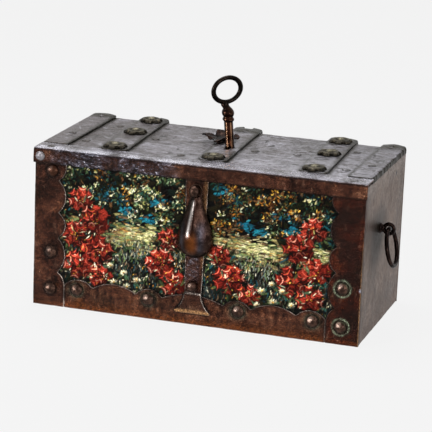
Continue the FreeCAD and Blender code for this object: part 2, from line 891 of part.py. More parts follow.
def key():
    bit_angle = key_turn / 2
    bow_rise = lid_strap_top + key_height - bow_half_height - bow_wire
    neck_top = bow_rise - bow_half_height
    lower_rise = lid_strap_top + (neck_top - lid_strap_top) * collar_rise_share
    lower_start = lower_rise - lower_collar_start
    lower_end = lower_rise + lower_collar_end
    waist_rise = lower_rise + collar_pitch / 2
    upper_rise = lower_rise + collar_pitch
    upper_end = upper_rise + upper_collar_end
    stem = turned([
        line((0, 0, bridge_bottom), (key_tip_radius, 0, bridge_bottom)),
        line((key_tip_radius, 0, bridge_bottom), (key_tip_radius, 0, stem_bottom)),
        line((key_tip_radius, 0, stem_bottom), (stem_radius, 0, stem_bottom)),
        line((stem_radius, 0, stem_bottom), (stem_radius, 0, lower_start)),
        arc((stem_radius, 0, lower_start), (lower_collar_radius, 0, lower_rise),
            (collar_waist_radius, 0, lower_end)),
        line((collar_waist_radius, 0, lower_end), (collar_waist_radius, 0, waist_rise)),
        arc((collar_waist_radius, 0, waist_rise), (upper_collar_radius, 0, upper_rise),
            (collar_top_radius, 0, upper_end)),
        line((collar_top_radius, 0, upper_end), (neck_radius, 0, neck_top)),
        line((neck_radius, 0, neck_top), (0, 0, neck_top)),
        line((0, 0, neck_top), (0, 0, bridge_bottom)),
    ])
    bow = oval_ring(bow_half_width, bow_half_height, bow_wire, bow_rise)
    bit = block(0, bit_reach, -bit_thickness / 2, bit_thickness / 2, bit_bottom, bit_top)
    middle = (bit_bottom + bit_top) / 2
    ward = block(stem_radius + ward_cut, bit_reach - ward_cut, -bit_thickness, bit_thickness,
                 middle - ward_cut / 2, middle + ward_cut / 2)
    ward = ward.fuse(block(bit_reach - 2 * ward_cut, bit_reach, -bit_thickness, bit_thickness,
                           middle - ward_cut / 2, middle + ward_cut / 2))
    flat_parts = bow.fuse(bit.cut(ward))
    flat_parts.rotate(origin, axis_z, bit_angle)
    whole = stem.fuse(flat_parts)
    whole.translate(axis_x * key_place)
    return whole


# Lock

def lock_plate():
    sheet = block(-lock_half_width, lock_half_width, lock_front, lock_back, lock_under, lid_under)
    sheet = drilled(sheet, lock_rivet_list(), axis_z, rivet_shank_radius + rivet_fit)
    return sheet.cut(keyhole())


def talon():
    # wide enough for the bit over the whole turn while the bolt follows in step
    half_turn = math.radians(key_turn / 2)
    half_bit = bit_thickness / 2
    half_travel = bolt_travel / 2
    far = bit_reach * math.sin(half_turn) + half_bit * math.cos(half_turn) - half_travel
    near = half_travel - spine_left * math.tan(half_turn) + half_bit / math.cos(half_turn)
    half = max(far, near, half_bit) + talon_play
    right = math.hypot(bit_reach, half_bit) + talon_play
    return block(key_place, key_place + right, half_travel - half, half_travel + half, bolt_bottom, bolt_top)


def front_staple_y():
    start = lock_front + staple_sheet
    return start, start + staple_width


def tail_staple_y():
    start = drive_pin_y + drive_bar_width / 2 + tail_staple_gap
    return start, start + staple_width


def cross_bar_y():
    start = front_staple_y()[1] + bolt_travel + bolt_end_gap
    return start, start + cross_bar_width


def main_bolt():
    # three front heads on a cross bar, a spine past the key, and a rear bar that drives the cranks
    cross_front, cross_back = cross_bar_y()
    drive_front = drive_pin_y - drive_bar_width / 2
    drive_back = drive_pin_y + drive_bar_width / 2
    tail_end = tail_staple_y()[0] + bolt_travel + tail_reserve
    cross_half = head_spacing + head_width / 2
    drive_half = drive_pin_x + drive_bar_width / 2
    bars = [
        block(spine_near, spine_far, cross_front, drive_back, bolt_bottom, bolt_top),
        block(-drive_half, drive_half, drive_front, drive_back, bolt_bottom, bolt_top),
        block(spine_near + tail_inset, spine_far - tail_inset, drive_front, tail_end,
              bolt_bottom, bolt_top),
    ]
    for x in (-head_spacing, 0, head_spacing):
        bars.append(block(x - head_width / 2, x + head_width / 2, front_bolt_end, cross_back,
                          bolt_bottom, bolt_top))
    bolt = block(-cross_half, cross_half, cross_front, cross_back, bolt_bottom, bolt_top)
    bolt = bolt.fuse(bars).removeSplitter().cut(talon())
    pins = [round_bar(drive_pin_radius, (side * drive_pin_x, drive_pin_y, crank_bottom), axis_z,
                      bolt_bottom - crank_bottom) for side in (-1, 1)]
    return bolt.fuse(pins)


def right_bolt():
    half = head_width / 2
    bar = block(end_pin_x - half, end_bolt_end, end_bolt_y - half, end_bolt_y + half,
                bolt_bottom, bolt_top)
    start = (end_pin_x, end_bolt_y, crank_bottom)
    return bar.fuse(round_bar(drive_pin_radius, start, axis_z, bolt_bottom - crank_bottom))


def arm(length, direction):
    # a bar from the hub to a rounded tip, with a slot that lets its pin slide along the arm
    low = crank_bottom
    tip = round_bar(crank_tip_radius, (length, 0, low), axis_z, crank_sheet)
    bar = block(0, length, -crank_tip_radius, crank_tip_radius, low, low + crank_sheet).fuse(tip)
    gap = drive_pin_radius + slot_play
    slot = block(length - slot_reach, length + slot_reach, -gap, gap, low, low + crank_sheet)
    for end in (length - slot_reach, length + slot_reach):
        slot = slot.fuse(round_bar(gap, (end, 0, low), axis_z, crank_sheet))
    bar.rotate(origin, axis_z, direction)
    slot.rotate(origin, axis_z, direction)
    return bar, slot


def left_crank():
    long_bar, long_slot = arm(crank_long, 0)
    short_bar, short_slot = arm(crank_short, -90)
    crank = round_bar(crank_hub_radius, (0, 0, crank_bottom), axis_z, crank_sheet)
    crank = crank.fuse([long_bar, short_bar]).removeSplitter()
    crank = crank.cut(long_slot).cut(short_slot)
    crank = drilled(crank, [(0, 0, crank_bottom)], axis_z, crank_pin_radius + pin_fit)
    crank.rotate(origin, axis_z, crank_half_swing)
    crank.translate(FreeCAD.Vector(-crank_pivot_x, crank_pivot_y, 0))
    return crank


def right_crank_pin():
    head_top = crank_bottom - slip_gap
    start = (crank_pivot_x, crank_pivot_y, head_top)
    pin = round_bar(crank_pin_radius, start, axis_z, lock_under - head_top)
    return pin.fuse(round_bar(crank_pin_head_radius, start, -axis_z, crank_pin_head))


def staple(width):
    # a strap bent under a bolt that slides along Y through the origin
    half = width / 2 + slip_gap
    low = bolt_bottom - slip_gap
    side = half + staple_sheet
    outer = block(-side, side, 0, staple_width, low - staple_sheet, lock_under)
    return outer.cut(block(-half, half, 0, staple_width, low, lock_under))


def bolt_staples():
    staples = []
    for x in (-head_spacing, 0, head_spacing):
        front = staple(head_width)
        front.translate(FreeCAD.Vector(x, front_staple_y()[0], 0))
        staples.append(front)
    tail = staple(spine_width - 2 * tail_inset)
    tail.translate(FreeCAD.Vector((spine_near + spine_far) / 2, tail_staple_y()[0], 0))
    staples.append(tail)
    for x in (end_staple_inner, lock_half_width - staple_sheet - staple_width):
        end = staple(head_width)
        end.rotate(origin, axis_z, -90)
        end.translate(FreeCAD.Vector(x, end_bolt_y, 0))
        staples += both_sides(end)
    return staples


def key_bridge():
    # carries the tip of the key, clear of the bolt that passes over it
    y = bridge_width / 2
    left = key_place - bridge_left
    right = bridge_right
    deck = block(left - bridge_sheet, right + bridge_sheet, -y, y, bridge_bottom, bridge_top)
    legs = [
        block(left - bridge_sheet, left, -y, y, bridge_bottom, lock_under),
        block(right, right + bridge_sheet, -y, y, bridge_bottom, lock_under),
        block(left - bridge_sheet - bridge_foot, left, -y, y, lock_under - bridge_sheet, lock_under),
        block(right, right + bridge_sheet + bridge_foot, -y, y, lock_under - bridge_sheet, lock_under),
    ]
    bridge = deck.fuse(legs).removeSplitter()
    return drilled(bridge, [(key_place, 0, bridge_bottom)], axis_z, key_tip_radius + pin_fit)


def drag_spring():
    # a bowed leaf beside the spine that keeps the bolt from drifting, between the bolt's two bars
    near = spine_far + slip_gap
    far = near + spring_bow
    y0 = cross_bar_y()[1] + spring_end_gap + spring_post
    y1 = drive_pin_y - drive_bar_width / 2 - bolt_travel - spring_end_gap
    centre = (y0 + y1) / 2
    low = bolt_bottom
    edges = [
        arc((far, y0, low), (near, centre, low), (far, y1, low)),
        line((far, y1, low), (far + spring_sheet, y1, low)),
        arc((far + spring_sheet, y1, low), (near + spring_sheet, centre, low),
            (far + spring_sheet, y0, low)),
        line((far + spring_sheet, y0, low), (far, y0, low)),
    ]
    leaf = plate(edges, axis_z * bolt_bar)
    post_x = far - spring_sheet
    post = block(post_x, post_x + spring_post, y0 - spring_post, y0, low, lock_under)
    return leaf.fuse(post)


# Ring handles

def right_ring_eye():
    eye_x = half_width + eye_stand_off
    eye_radius = eye_inner_radius + eye_wire
    loop = Part.makeTorus(eye_radius, eye_wire, FreeCAD.Vector(eye_x, eye_y, eye_rise), axis_y)
    neck = round_bar(eye_neck_radius, (inner_half_width, eye_y, eye_rise), axis_x,
                     wall_sheet + eye_stand_off - eye_radius)
    collar = Part.makeCone(eye_collar_radius, eye_neck_radius + eye_wire / 2, eye_collar_height,
                           FreeCAD.Vector(half_width, eye_y, eye_rise), axis_x)
    inside = round_bar(eye_inner_radius, (eye_x, eye_y - eye_wire, eye_rise), axis_y, 2 * eye_wire)
    return loop.fuse([neck.cut(inside), collar])


def right_ring():
    tilt = math.radians(ring_tilt)
    eye_x = half_width + eye_stand_off
    out = ring_radius * math.sin(tilt)
    drop = ring_radius * math.cos(tilt)
    centre = FreeCAD.Vector(eye_x + out, eye_y, eye_rise - drop)
    across = FreeCAD.Vector(math.cos(tilt), 0, math.sin(tilt))
    return Part.makeTorus(ring_radius, ring_wire, centre, across)


os.makedirs("parts", exist_ok=True)

export("base_plate", base_plate())
export("foot_bars", *foot_bars())
export("front_plate", front_plate())
export("back_plate", back_plate())
export("left_side_plate", mirrored(right_side_plate()))
export("right_side_plate", right_side_plate())
export("corner_angles", *corner_angles())
export("catch_rim", *catch_rim())
export("left_corner_strap", corner_strap(-1))
export("right_corner_strap", corner_strap(1))
export("base_strap", base_strap())
export("centre_strap", centre_strap())
export("front_rivets", *front_rivets())
export("drop_cover_stud", drop_cover_stud())
export("centre_strap_stud", centre_strap_stud())
for name, centre in zip(("left", "centre", "right"), strap_centres):
    export(f"{name}_hinge_leaf", hinge_leaf(centre))
    export(f"{name}_lid_strap", lid_strap(centre))
export("back_rivets", *back_rivets())
export("hinge_pins", *[hinge_pin(centre) for centre in strap_centres])
export("left_ring_eye", mirrored(right_ring_eye()))
export("right_ring_eye", right_ring_eye())

export("lid_plate", lid_plate())
export("lid_front_band", lid_front_band())
export("band_rivet", band_rivet_head())
export("left_edge_strap", edge_strap(-1))
export("right_edge_strap", edge_strap(1))
export("lid_rosettes", *lid_rosettes())
export("lid_rivets", *lid_rivets())
export("cover_rivet", cover_rivet())
export("keyhole_cover", keyhole_cover())

export("lock_plate", lock_plate())
export("bolt_staples", *bolt_staples())
export("crank_pins", *both_sides(right_crank_pin()))
export("key_bridge", key_bridge())
export("drag_spring", drag_spring())
export("key", key())
export("main_bolt", main_bolt())
export("left_bolt", mirrored(right_bolt()))
export("right_bolt", right_bolt())
export("left_crank", left_crank())
export("right_crank", mirrored(left_crank()))

export("drop_cover", drop_cover())
export("left_ring", mirrored(right_ring()))
export("right_ring", right_ring())
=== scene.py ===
import bpy
import json
import math
import random
import numpy as np
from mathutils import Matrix, Quaternion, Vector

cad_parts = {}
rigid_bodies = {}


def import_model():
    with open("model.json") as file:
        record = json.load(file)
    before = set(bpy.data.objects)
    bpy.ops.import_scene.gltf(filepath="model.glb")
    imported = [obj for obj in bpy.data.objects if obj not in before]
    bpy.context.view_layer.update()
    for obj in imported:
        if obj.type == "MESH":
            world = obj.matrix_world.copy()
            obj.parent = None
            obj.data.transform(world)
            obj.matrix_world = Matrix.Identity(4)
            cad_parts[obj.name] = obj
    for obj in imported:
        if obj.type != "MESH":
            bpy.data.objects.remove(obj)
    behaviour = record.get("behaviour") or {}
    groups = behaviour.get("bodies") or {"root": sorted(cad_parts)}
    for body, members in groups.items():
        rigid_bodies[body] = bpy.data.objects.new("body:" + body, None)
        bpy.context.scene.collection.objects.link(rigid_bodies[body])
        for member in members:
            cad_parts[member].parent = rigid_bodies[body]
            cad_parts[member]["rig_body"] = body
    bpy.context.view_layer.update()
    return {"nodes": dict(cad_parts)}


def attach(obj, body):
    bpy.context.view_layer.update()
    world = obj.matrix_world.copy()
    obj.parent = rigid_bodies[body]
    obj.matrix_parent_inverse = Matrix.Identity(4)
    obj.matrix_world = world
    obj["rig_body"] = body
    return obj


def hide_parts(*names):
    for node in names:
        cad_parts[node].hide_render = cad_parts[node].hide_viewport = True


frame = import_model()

nodes = frame["nodes"]
mm = 0.001


# small tools; lengths are in mm unless a comment says otherwise

def linear(hexColour):
    parts = [int(hexColour[i:i + 2], 16) / 255 for i in (1, 3, 5)]
    parts = [p / 12.92 if p <= 0.04045 else ((p + 0.055) / 1.055) ** 2.4 for p in parts]
    return (*parts, 1.0)


nodeKinds = {       # Blender's node, its inputs in the order given, the output that is used, fixed settings
    "place": ("TexCoord", [], "Object"),
    "stretch": ("Mapping", ["Vector", "Scale", "Location"], 0),
    "length": ("VectorMath", [0], "Value", {"operation": "LENGTH"}),
    "noise": ("TexNoise", ["Vector", "Scale", "Detail", "Roughness", "Distortion"], "Fac"),
    "cracks": ("TexVoronoi", ["Vector", "Scale"], "Distance", {"feature": "DISTANCE_TO_EDGE"}),
    "marked": ("Attribute", [], "Fac"),
    "painted": ("Attribute", [], "Color"),
    "range": ("MapRange", ["Value", "From Min", "From Max", "To Min", "To Max"], 0),
    "ramp": ("ValToRGB", ["Fac"], 0),
    "mix": ("Mix", [0, 6, 7], 2, {"data_type": "RGBA"}),
    "tint": ("Mix", [0, 6, 7], 2, {"data_type": "RGBA", "blend_type": "MULTIPLY"}),
    "colour": ("CombineColor", ["Red", "Green", "Blue"], 0),
    "bump": ("Bump", ["Height", "Distance", "Strength"], 0),
    "shader": ("BsdfPrincipled", ["Base Color", "Roughness", "Metallic", "Normal", "Specular Tint",
                                  "Specular IOR Level"], 0),
    "matt": ("BsdfDiffuse", ["Color"], 0),
    "glow": ("Emission", ["Color", "Strength"], 0),
    "sky": ("Background", ["Color", "Strength"], 0),
    "blend": ("MixShader", [0, 1, 2], 0),
    "surface": ("OutputMaterial", ["Surface"], None),
    "world": ("OutputWorld", ["Surface"], None),
}
for axis in "xyz":
    nodeKinds[axis + "Place"] = ("SeparateXYZ", ["Vector"], axis.upper())
for ray in ("camera", "glossy", "transmission"):
    nodeKinds[ray + "Ray"] = ("LightPath", [], "Is " + ray.title() + " Ray")
for kind in ("add", "subtract", "multiply", "multiply_add", "maximum", "absolute", "pingpong"):
    nodeKinds[kind] = ("Math", [0, 1, 2], 0, {"operation": kind.upper()})


def addNode(owner, kind, *values, stops=(), **settings):
    # values are numbers, hex colours or other nodes' outputs; stops fill a colour ramp
    nodeType, inputNames, output, *fixed = nodeKinds[kind]
    tree = owner.node_tree
    node = tree.nodes.new("ShaderNode" + nodeType)
    for settled in (*fixed, settings):
        for name, value in settled.items():
            setattr(node, name, value)
    for name, value in zip(inputNames, values):
        if isinstance(value, bpy.types.NodeSocket):
            tree.links.new(value, node.inputs[name])
        else:
            node.inputs[name].default_value = linear(value) if isinstance(value, str) else value
    for n, (position, hexColour) in enumerate(stops):
        if n == len(node.color_ramp.elements):
            node.color_ramp.elements.new(1.0)
        node.color_ramp.elements[n].position = position
        node.color_ramp.elements[n].color = linear(hexColour)
    return None if output is None else node.outputs[output]


def clearNodes(owner):
    owner.use_nodes = True
    owner.node_tree.nodes.clear()
    return owner


def only(piece):
    bpy.ops.object.select_all(action="DESELECT")
    piece.select_set(True)
    bpy.context.view_layer.objects.active = piece


def readPoints(piece, what):
    values = np.zeros(len(piece.data.vertices) * 3)
    piece.data.vertices.foreach_get(what, values)
    return values.reshape(-1, 3)


def points(piece):
    return readPoints(piece, "co") / mm


def normals(piece):
    return readPoints(piece, "normal")


def setPoints(piece, co):
    piece.data.vertices.foreach_set("co", (co * mm).ravel())
    piece.data.update()


def mark(piece, name, values):
    # one number for each point, read by a material
    layer = piece.data.attributes.new(name, "FLOAT", "POINT")
    layer.data.foreach_set("value", np.clip(values, 0, 1).astype(np.float32))


def fade(values, low, high, first=0.0, last=1.0):
    # first at low, last at high and smooth between them; low may be the larger
    t = np.clip((values - low) / (high - low), 0, 1)
    return first + (last - first) * t * t * (3 - 2 * t)


def bell(values, middle, width):
    return np.exp(-((values - middle) / width) ** 2)


def dress(piece, mat):
    piece.data.materials.clear()
    piece.data.materials.append(mat)


# camera: a long lens, a little to the right of the front and above it

cameraSettings = {"eye": (631.96, -2067.07, 677.32), "aim": (-11.4, 20.6, 84.9), "rollDegrees": 2.32,
                  "lens": 183.4, "sensor": 36, "farMetres": 50}


def addCamera(s):
    bpy.ops.object.camera_add(location=Vector(s["eye"]) * mm)
    camera = bpy.context.object
    camera.data.lens = s["lens"]
    camera.data.sensor_width = s["sensor"]
    camera.data.clip_end = s["farMetres"]
    turn = (Vector(s["aim"]) - Vector(s["eye"])).to_track_quat("-Z", "Y")
    turn = turn @ Quaternion((0, 0, 1), math.radians(s["rollDegrees"]))
    camera.rotation_euler = turn.to_euler()
    bpy.context.scene.camera = camera


addCamera(cameraSettings)
print("camera placed")


# floor and light

stageSettings = {
    "paper": "#f4f4f4",
    "floorMetres": 12.0,
    "floorHeight": -0.3,
    "floorGlow": 0.955,     # share of the floor's look that is plain paper colour
    "sky": "#f2f3f6",
    "skyStrength": 0.42,
    "lampAim": (0, 0, 90),
    "lamps": {              # place, size and power
        "leftBox": ((-1500, -1700, 460), 700, 32),
        "rightBox": ((1500, -1350, 380), 500, 10),
        "topBox": ((-300, 300, 1700), 900, 18),
    },
}


def seenRays(owner):
    # rays that should meet the plain paper colour: straight from the camera, mirrored or through glass
    first = addNode(owner, "maximum", addNode(owner, "cameraRay"), addNode(owner, "glossyRay"))
    return addNode(owner, "maximum", first, addNode(owner, "transmissionRay"))


def buildStage(s):
    scene = bpy.context.scene
    scene.view_settings.view_transform = "Standard"
    world = clearNodes(bpy.data.worlds.new("studio"))
    scene.world = world
    soft = addNode(world, "sky", s["sky"], s["skyStrength"])
    plain = addNode(world, "sky", s["paper"], 1.0)
    addNode(world, "world", addNode(world, "blend", seenRays(world), soft, plain))

    bpy.ops.mesh.primitive_plane_add(size=s["floorMetres"], location=(0, 0, s["floorHeight"] * mm))
    floor = bpy.context.object
    floor.name = "paperFloor"
    paper = clearNodes(bpy.data.materials.new("studio_paper"))
    matt = addNode(paper, "matt", s["paper"])
    glow = addNode(paper, "glow", s["paper"], 1.0)
    share = addNode(paper, "multiply", seenRays(paper), s["floorGlow"])
    addNode(paper, "surface", addNode(paper, "blend", share, matt, glow))
    floor.data.materials.append(paper)

    for name, (place, size, power) in s["lamps"].items():
        bpy.ops.object.light_add(type="AREA", location=Vector(place) * mm)
        lamp = bpy.context.object
        lamp.name = name
        lamp.data.size = size * mm
        lamp.data.energy = power
        aim = Vector(s["lampAim"]) * mm - lamp.location
        lamp.rotation_euler = aim.to_track_quat("-Z", "Y").to_euler()


buildStage(stageSettings)
print("stage lit")


# how an iron is mixed. Its dictionary holds:
#   patterns   noise: size along one or three axes, detail, roughness, distortion
#   blobs      centre and radii of a round spot, which is 0 in its middle and 1 at its radii
#   tone       patterns added up by weight, the cloud alone if not given; tones is the ramp that colours it
#   layers     from the lowest up: a colour, or a pattern and its ramp, and where it lies, which is the
#              product of marks on the piece and of ranges (what, from, to, share at from, share at to)
#   relief     what the bump follows, the tone if not given
#   grazing    dims the white that metal takes on at a flat angle

def shareOf(mat, sources, masks):
    share = None
    for mask in masks:
        if isinstance(mask, str):
            part = addNode(mat, "marked", attribute_name=mask)
        else:
            name, low, high, *shares = mask
            socket, unit = sources[name]
            part = addNode(mat, "range", socket, low * unit, high * unit, *shares)
        share = part if share is None else addNode(mat, "multiply", share, part)
    return share


def weigh(mat, sources, weights):
    total = 0.0
    for name, weight in weights.items():
        total = addNode(mat, "multiply_add", sources[name][0], weight, total)
    return total


def addShader(mat, colour, rough, height, s):
    bump = addNode(mat, "bump", height, s["depth"] * mm, s["strength"])
    grazing = s.get("grazing", 1.0)
    shader = addNode(mat, "shader", colour, rough, s["metallic"], bump, (grazing, grazing, grazing, 1.0),
                     s.get("specular", 0.5))
    addNode(mat, "surface", shader)
    return mat


def mixIron(name, s, addSources=None):
    mat = clearNodes(bpy.data.materials.new(name))
    place = addNode(mat, "place")
    sources = {axis: (addNode(mat, axis + "Place", place), mm) for axis in s.get("axes", "")}
    for pattern, (size, *character) in s["patterns"].items():
        if isinstance(size, tuple):
            stretched = addNode(mat, "stretch", place, [1 / (part * mm) for part in size])
            sources[pattern] = (addNode(mat, "noise", stretched, 1.0, *character), 1)
        else:
            sources[pattern] = (addNode(mat, "noise", place, 1 / (size * mm), *character), 1)
    for blob, (centre, radii) in s.get("blobs", {}).items():
        scale = [1 / (radius * mm) for radius in radii]
        shift = [-middle / radius for middle, radius in zip(centre, radii)]
        sources[blob] = (addNode(mat, "length", addNode(mat, "stretch", place, scale, shift)), 1)
    sources["tone"] = (weigh(mat, sources, s.get("tone", {"cloud": 1.0})), 1)
    if addSources:
        addSources(mat, sources, s)
    colour = addNode(mat, "ramp", sources["tone"][0], stops=s["tones"])
    for tone, *masks in s.get("layers", ()):
        share = shareOf(mat, sources, masks)
        if not isinstance(tone, str):
            tone = addNode(mat, "ramp", sources[tone[0]][0], stops=tone[1])
        colour = addNode(mat, "mix", share, colour, tone)
    rough = shareOf(mat, sources, [s["rough"]])
    return addShader(mat, colour, rough, weigh(mat, sources, s.get("relief", {"tone": 1.0})), s)


# wrought-iron sheet hammered cold and waxed: grey with a lilac cast, fine ripples along its length, dark wax
# in the hollows, painted shade to the left, at the back right and in dents, painted highlights to the right,
# along the front and beside dents, olive dirt with painted shade by the straps
hammeredSheetIron = {
    "axes": "xy",
    "patterns": {"ripple": ((12, 5, 6), 6, 0.64, 0.9), "cloud": (50, 5, 0.6), "grit": (2.6, 3, 0.7),
                 "stains": (18, 6, 0.7), "dents": ((9, 16, 9), 3, 0.5, 0.6)},
    "tone": {"cloud": 0.6, "grit": 0.3, "ripple": 0.7},
    "tones": [(0.60, "#1a1614"), (0.70, "#3d3735"), (0.80, "#645f61"), (0.92, "#868389"), (1.0, "#a5a3ac")],
    "layers": [
        # painted shade to the left, then painted highlights on ripple crests to the right and along the front
        ("#4f4543", ("x", -30, -170, 0.0, 0.55)),
        ("#b5b4be", ("x", 20, 120, 0.0, 0.45), ("ripple", 0.40, 0.60)),
        ("#b0aeb7", ("y", 10, -40, 0.0, 0.5), ("ripple", 0.36, 0.56), ("x", -110, 30)),
        # painted shade at the back right and on the right end
        ("#454142", ("dullCorner", 0, 1)),
        # olive dirt with painted shade along the straps, on upward faces
        ("#262318", ("seam", 0, 1), ("cloud", 0.38, 0.6, 0.45, 1.0), "upper"),
        ("#4d433b", ("stains", 0.55, 0.72, 0.0, 0.6)),
        # painted shade in the dents and painted glints beside them
        ("#1d1917", ("dents", 0.38, 0.31, 0.0, 0.85)),
        ("#b9b8c1", ("dents", 0.63, 0.70, 0.0, 0.4)),
        # dirt with painted shade: the straps' sloping sides, rivet heads and skirts, strap ends and round
        # rosettes
        ("#262318", "grime"),
        # painted highlight on the band rivet's front face
        ("#b4b2ba", "rub"),
    ],
    "dullBack": [("x", 50, 150, 0.0, 0.65), ("y", -20, 70)], "dullEnd": [("x", 132, 160, 0.0, 0.45)],
    "strapPitch": 103.02, "halfStrap": 14.5, "endStrap": 145.0,
    "strapLean": [("y", 81.7, -61.7, 0.0, 6.5 * mm)],       # the straps' shift from back to front, in metres
    "strapDirt": [("fromStrap", 5.2, 1.0)], "endDirt": [("fromEnd", 4.6, 1.2)],
    "rough": ("cloud", 0.3, 0.7, 0.3, 0.44),
    "relief": {"tone": 1.0, "dents": 1.2}, "depth": 2.2, "strength": 0.8, "metallic": 0.85, "grazing": 0.98,
}


def addLidSources(mat, sources, s):
    # distance from the nearest edge of a strap, and the painted shade on the right end and at the back right
    across = sources["x"][0]
    along = addNode(mat, "subtract", across, shareOf(mat, sources, s["strapLean"]))
    pitch = s["strapPitch"] * mm
    fold = addNode(mat, "pingpong", addNode(mat, "add", along, 2 * pitch), pitch / 2)
    sides = {"fromStrap": (fold, "halfStrap"), "fromEnd": (addNode(mat, "absolute", across), "endStrap")}
    for name, (value, edge) in sides.items():
        sources[name] = (addNode(mat, "absolute", addNode(mat, "subtract", value, s[edge] * mm)), mm)
    for name, first, second in (("seam", "strapDirt", "endDirt"), ("dullCorner", "dullBack", "dullEnd")):
        parts = [shareOf(mat, sources, s[part]) for part in (first, second)]
        sources[name] = (addNode(mat, "maximum", *parts), 1)


# wrought-iron strap under old brown varnish: dark chocolate with a red cast and a gloss, orange where it wore
# through along the bottom, pale lines on the edges that are partly bare wear and partly painted highlight,
# green stains round rivets, blue-grey bare patches with painted sheen and glints, painted shade under the
# band, round rivets and along the edges, and a painted sheen in the middle away from the edges
varnishedBrownIron = {
    "axes": "z",
    "patterns": {"cloud": (26, 7, 0.66), "grit": (2.6, 4, 0.7), "mottle": ((5.5, 6, 10), 5, 0.72, 0.5),
                 "spots": (14, 6, 0.72), "flecks": ((5.8, 4, 3), 5, 0.78, 0.4)},
    "tone": {"cloud": 1.0, "grit": 0.35},
    "tones": [(0.48, "#120602"), (0.58, "#28130a"), (0.68, "#402419"), (0.79, "#5c3a29"), (0.92, "#a37c62")],
    "layers": [
        (("tone", [(0.50, "#0c0100"), (0.66, "#290903"), (0.80, "#48190a"), (0.95, "#86482a")]),
         "red", ("cloud", 0.36, 0.56, 0.35, 1.0)),
        ("#120704", ("mottle", 0.47, 0.36, 0.0, 0.75)),
        ("#7f5c4a", ("mottle", 0.57, 0.72, 0.0, 0.6)),
        ("#7a4019", "foot", ("z", 12, 0), ("grit", 0.38, 0.66, 0.1, 0.9)),
        ("#6e3a18", "foot", ("spots", 0.57, 0.68, 0.0, 0.75)),
        # wear with a painted sheen, lighter in the middle of a strap away from its edges
        ("#8c5d42", "glow", ("mottle", 0.42, 0.66)),
        # painted shade under the band, round rivets and the foot, along edges and high on the right strap,
        # with some dirt
        ("#140b08", "soot"),
        # blue-grey patches, partly bare metal and partly painted sheen, with painted glints
        (("flecks", [(0.38, "#0c0a0b"), (0.48, "#221f23"), (0.56, "#4c4a54"), (0.63, "#92919e"),
                     (0.70, "#ecebf2")]), "bare", ("cloud", 0.40, 0.56, 0.1, 0.95)),
        ("#77826b", "halo", ("mottle", 0.40, 0.58, 0.1, 1.0)),
        # pale lines on the rounded edges: painted highlight, partly bare wear
        ("#e2d6cb", "edge", ("cloud", 0.38, 0.60, 0.05, 0.95)),
        # painted highlight along the right corner and the middle strap's right edge, worn gold along the foot
        ("#b88a5c", "copper", ("grit", 0.36, 0.58, 0.15, 0.95)),
        (("tone", [(0.45, "#2f2a29"), (0.60, "#5f5a5c"), (0.74, "#85828a"), (0.90, "#b1b0b8")]), "sheen"),
        # painted highlight along the front of the band's top
        ("#b7b5be", "rim", ("cloud", 0.36, 0.52, 0.1, 0.95)),
    ],
    "rough": ("tone", 0.45, 0.95, 0.16, 0.32),
    "relief": {"mottle": 1.0, "grit": 1.0, "flecks": 0.8, "cloud": 1.8},
    "depth": 2.0, "strength": 0.75, "metallic": 0.9,
}

# flat wrought-iron sheet left to weather: mottled grey with a brown cast, faint streaks from top to bottom,
# dark pits, rust along the foot, rust streaks with a painted shadow of the ring handle ahead of it, rust with
# painted shade round the handle's eye, a painted shadow along the front edge, a pale brow and one nail hole
weatheredSheetIron = {
    "axes": "yz",
    "patterns": {"streak": ((5.5, 5.5, 13), 6, 0.7, 0.8), "cloud": (40, 7, 0.68), "grit": (2.8, 4, 0.75),
                 "patches": (55, 5, 0.6, 0.8)},
    "blobs": {"eye": ((170, -20, 98), (36, 36, 36)), "nailHole": ((170, 42, 146), (3.6, 3.6, 3.6))},
    "tone": {"cloud": 0.45, "grit": 0.5, "streak": 0.55},
    "tones": [(0.56, "#2a1a12"), (0.67, "#4f3c31"), (0.78, "#705e53"), (0.91, "#9a8b80")],
    "layers": [
        ("#3b2a20", ("patches", 0.52, 0.66, 0.0, 0.6)),
        ("#4a2c1a", ("z", 22, 0), ("grit", 0.36, 0.62, 0.1, 0.8)),
        # painted shadow along the front edge, by the corner strap
        ("#241610", ("y", -76, -84), ("cloud", 0.35, 0.6, 0.2, 0.7)),
        # rust streaks with the painted shadow of the ring handle, ahead of the handle
        ("#2a1a10", ("y", -68, -44), ("y", -8, -32), ("z", 40, 78), ("z", 132, 108),
         ("streak", 0.36, 0.58, 0.45, 1.0)),
        # rust with painted shade round the handle's eye
        ("#20160c", ("eye", 1.0, 0.278, 0.0, 0.95)),
        ("#a39c97", ("z", 138, 160, 0.0, 0.6), ("grit", 0.4, 0.62)),
        ("#0e0908", ("nailHole", 1.0, 0.5)),
        ("#1b1410", ("grit", 0.38, 0.31, 0.0, 0.85)),
    ],
    "rough": ("cloud", 0.3, 0.7, 0.30, 0.48),
    "depth": 2.0, "strength": 0.9, "metallic": 0.8, "grazing": 0.8,
}

# forged bar iron blackened by oil and handling: nearly black, smooth where hands rub it
darkForgedIron = {
    "patterns": {"cloud": (9, 6, 0.62)},
    "tones": [(0.30, "#0b0605"), (0.50, "#1e1411"), (0.66, "#382923"), (0.82, "#5f4c42")],
    "rough": ("cloud", 0.3, 0.7, 0.18, 0.36),
    "depth": 1.1, "strength": 0.6, "metallic": 0.9, "grazing": 0.6,
}

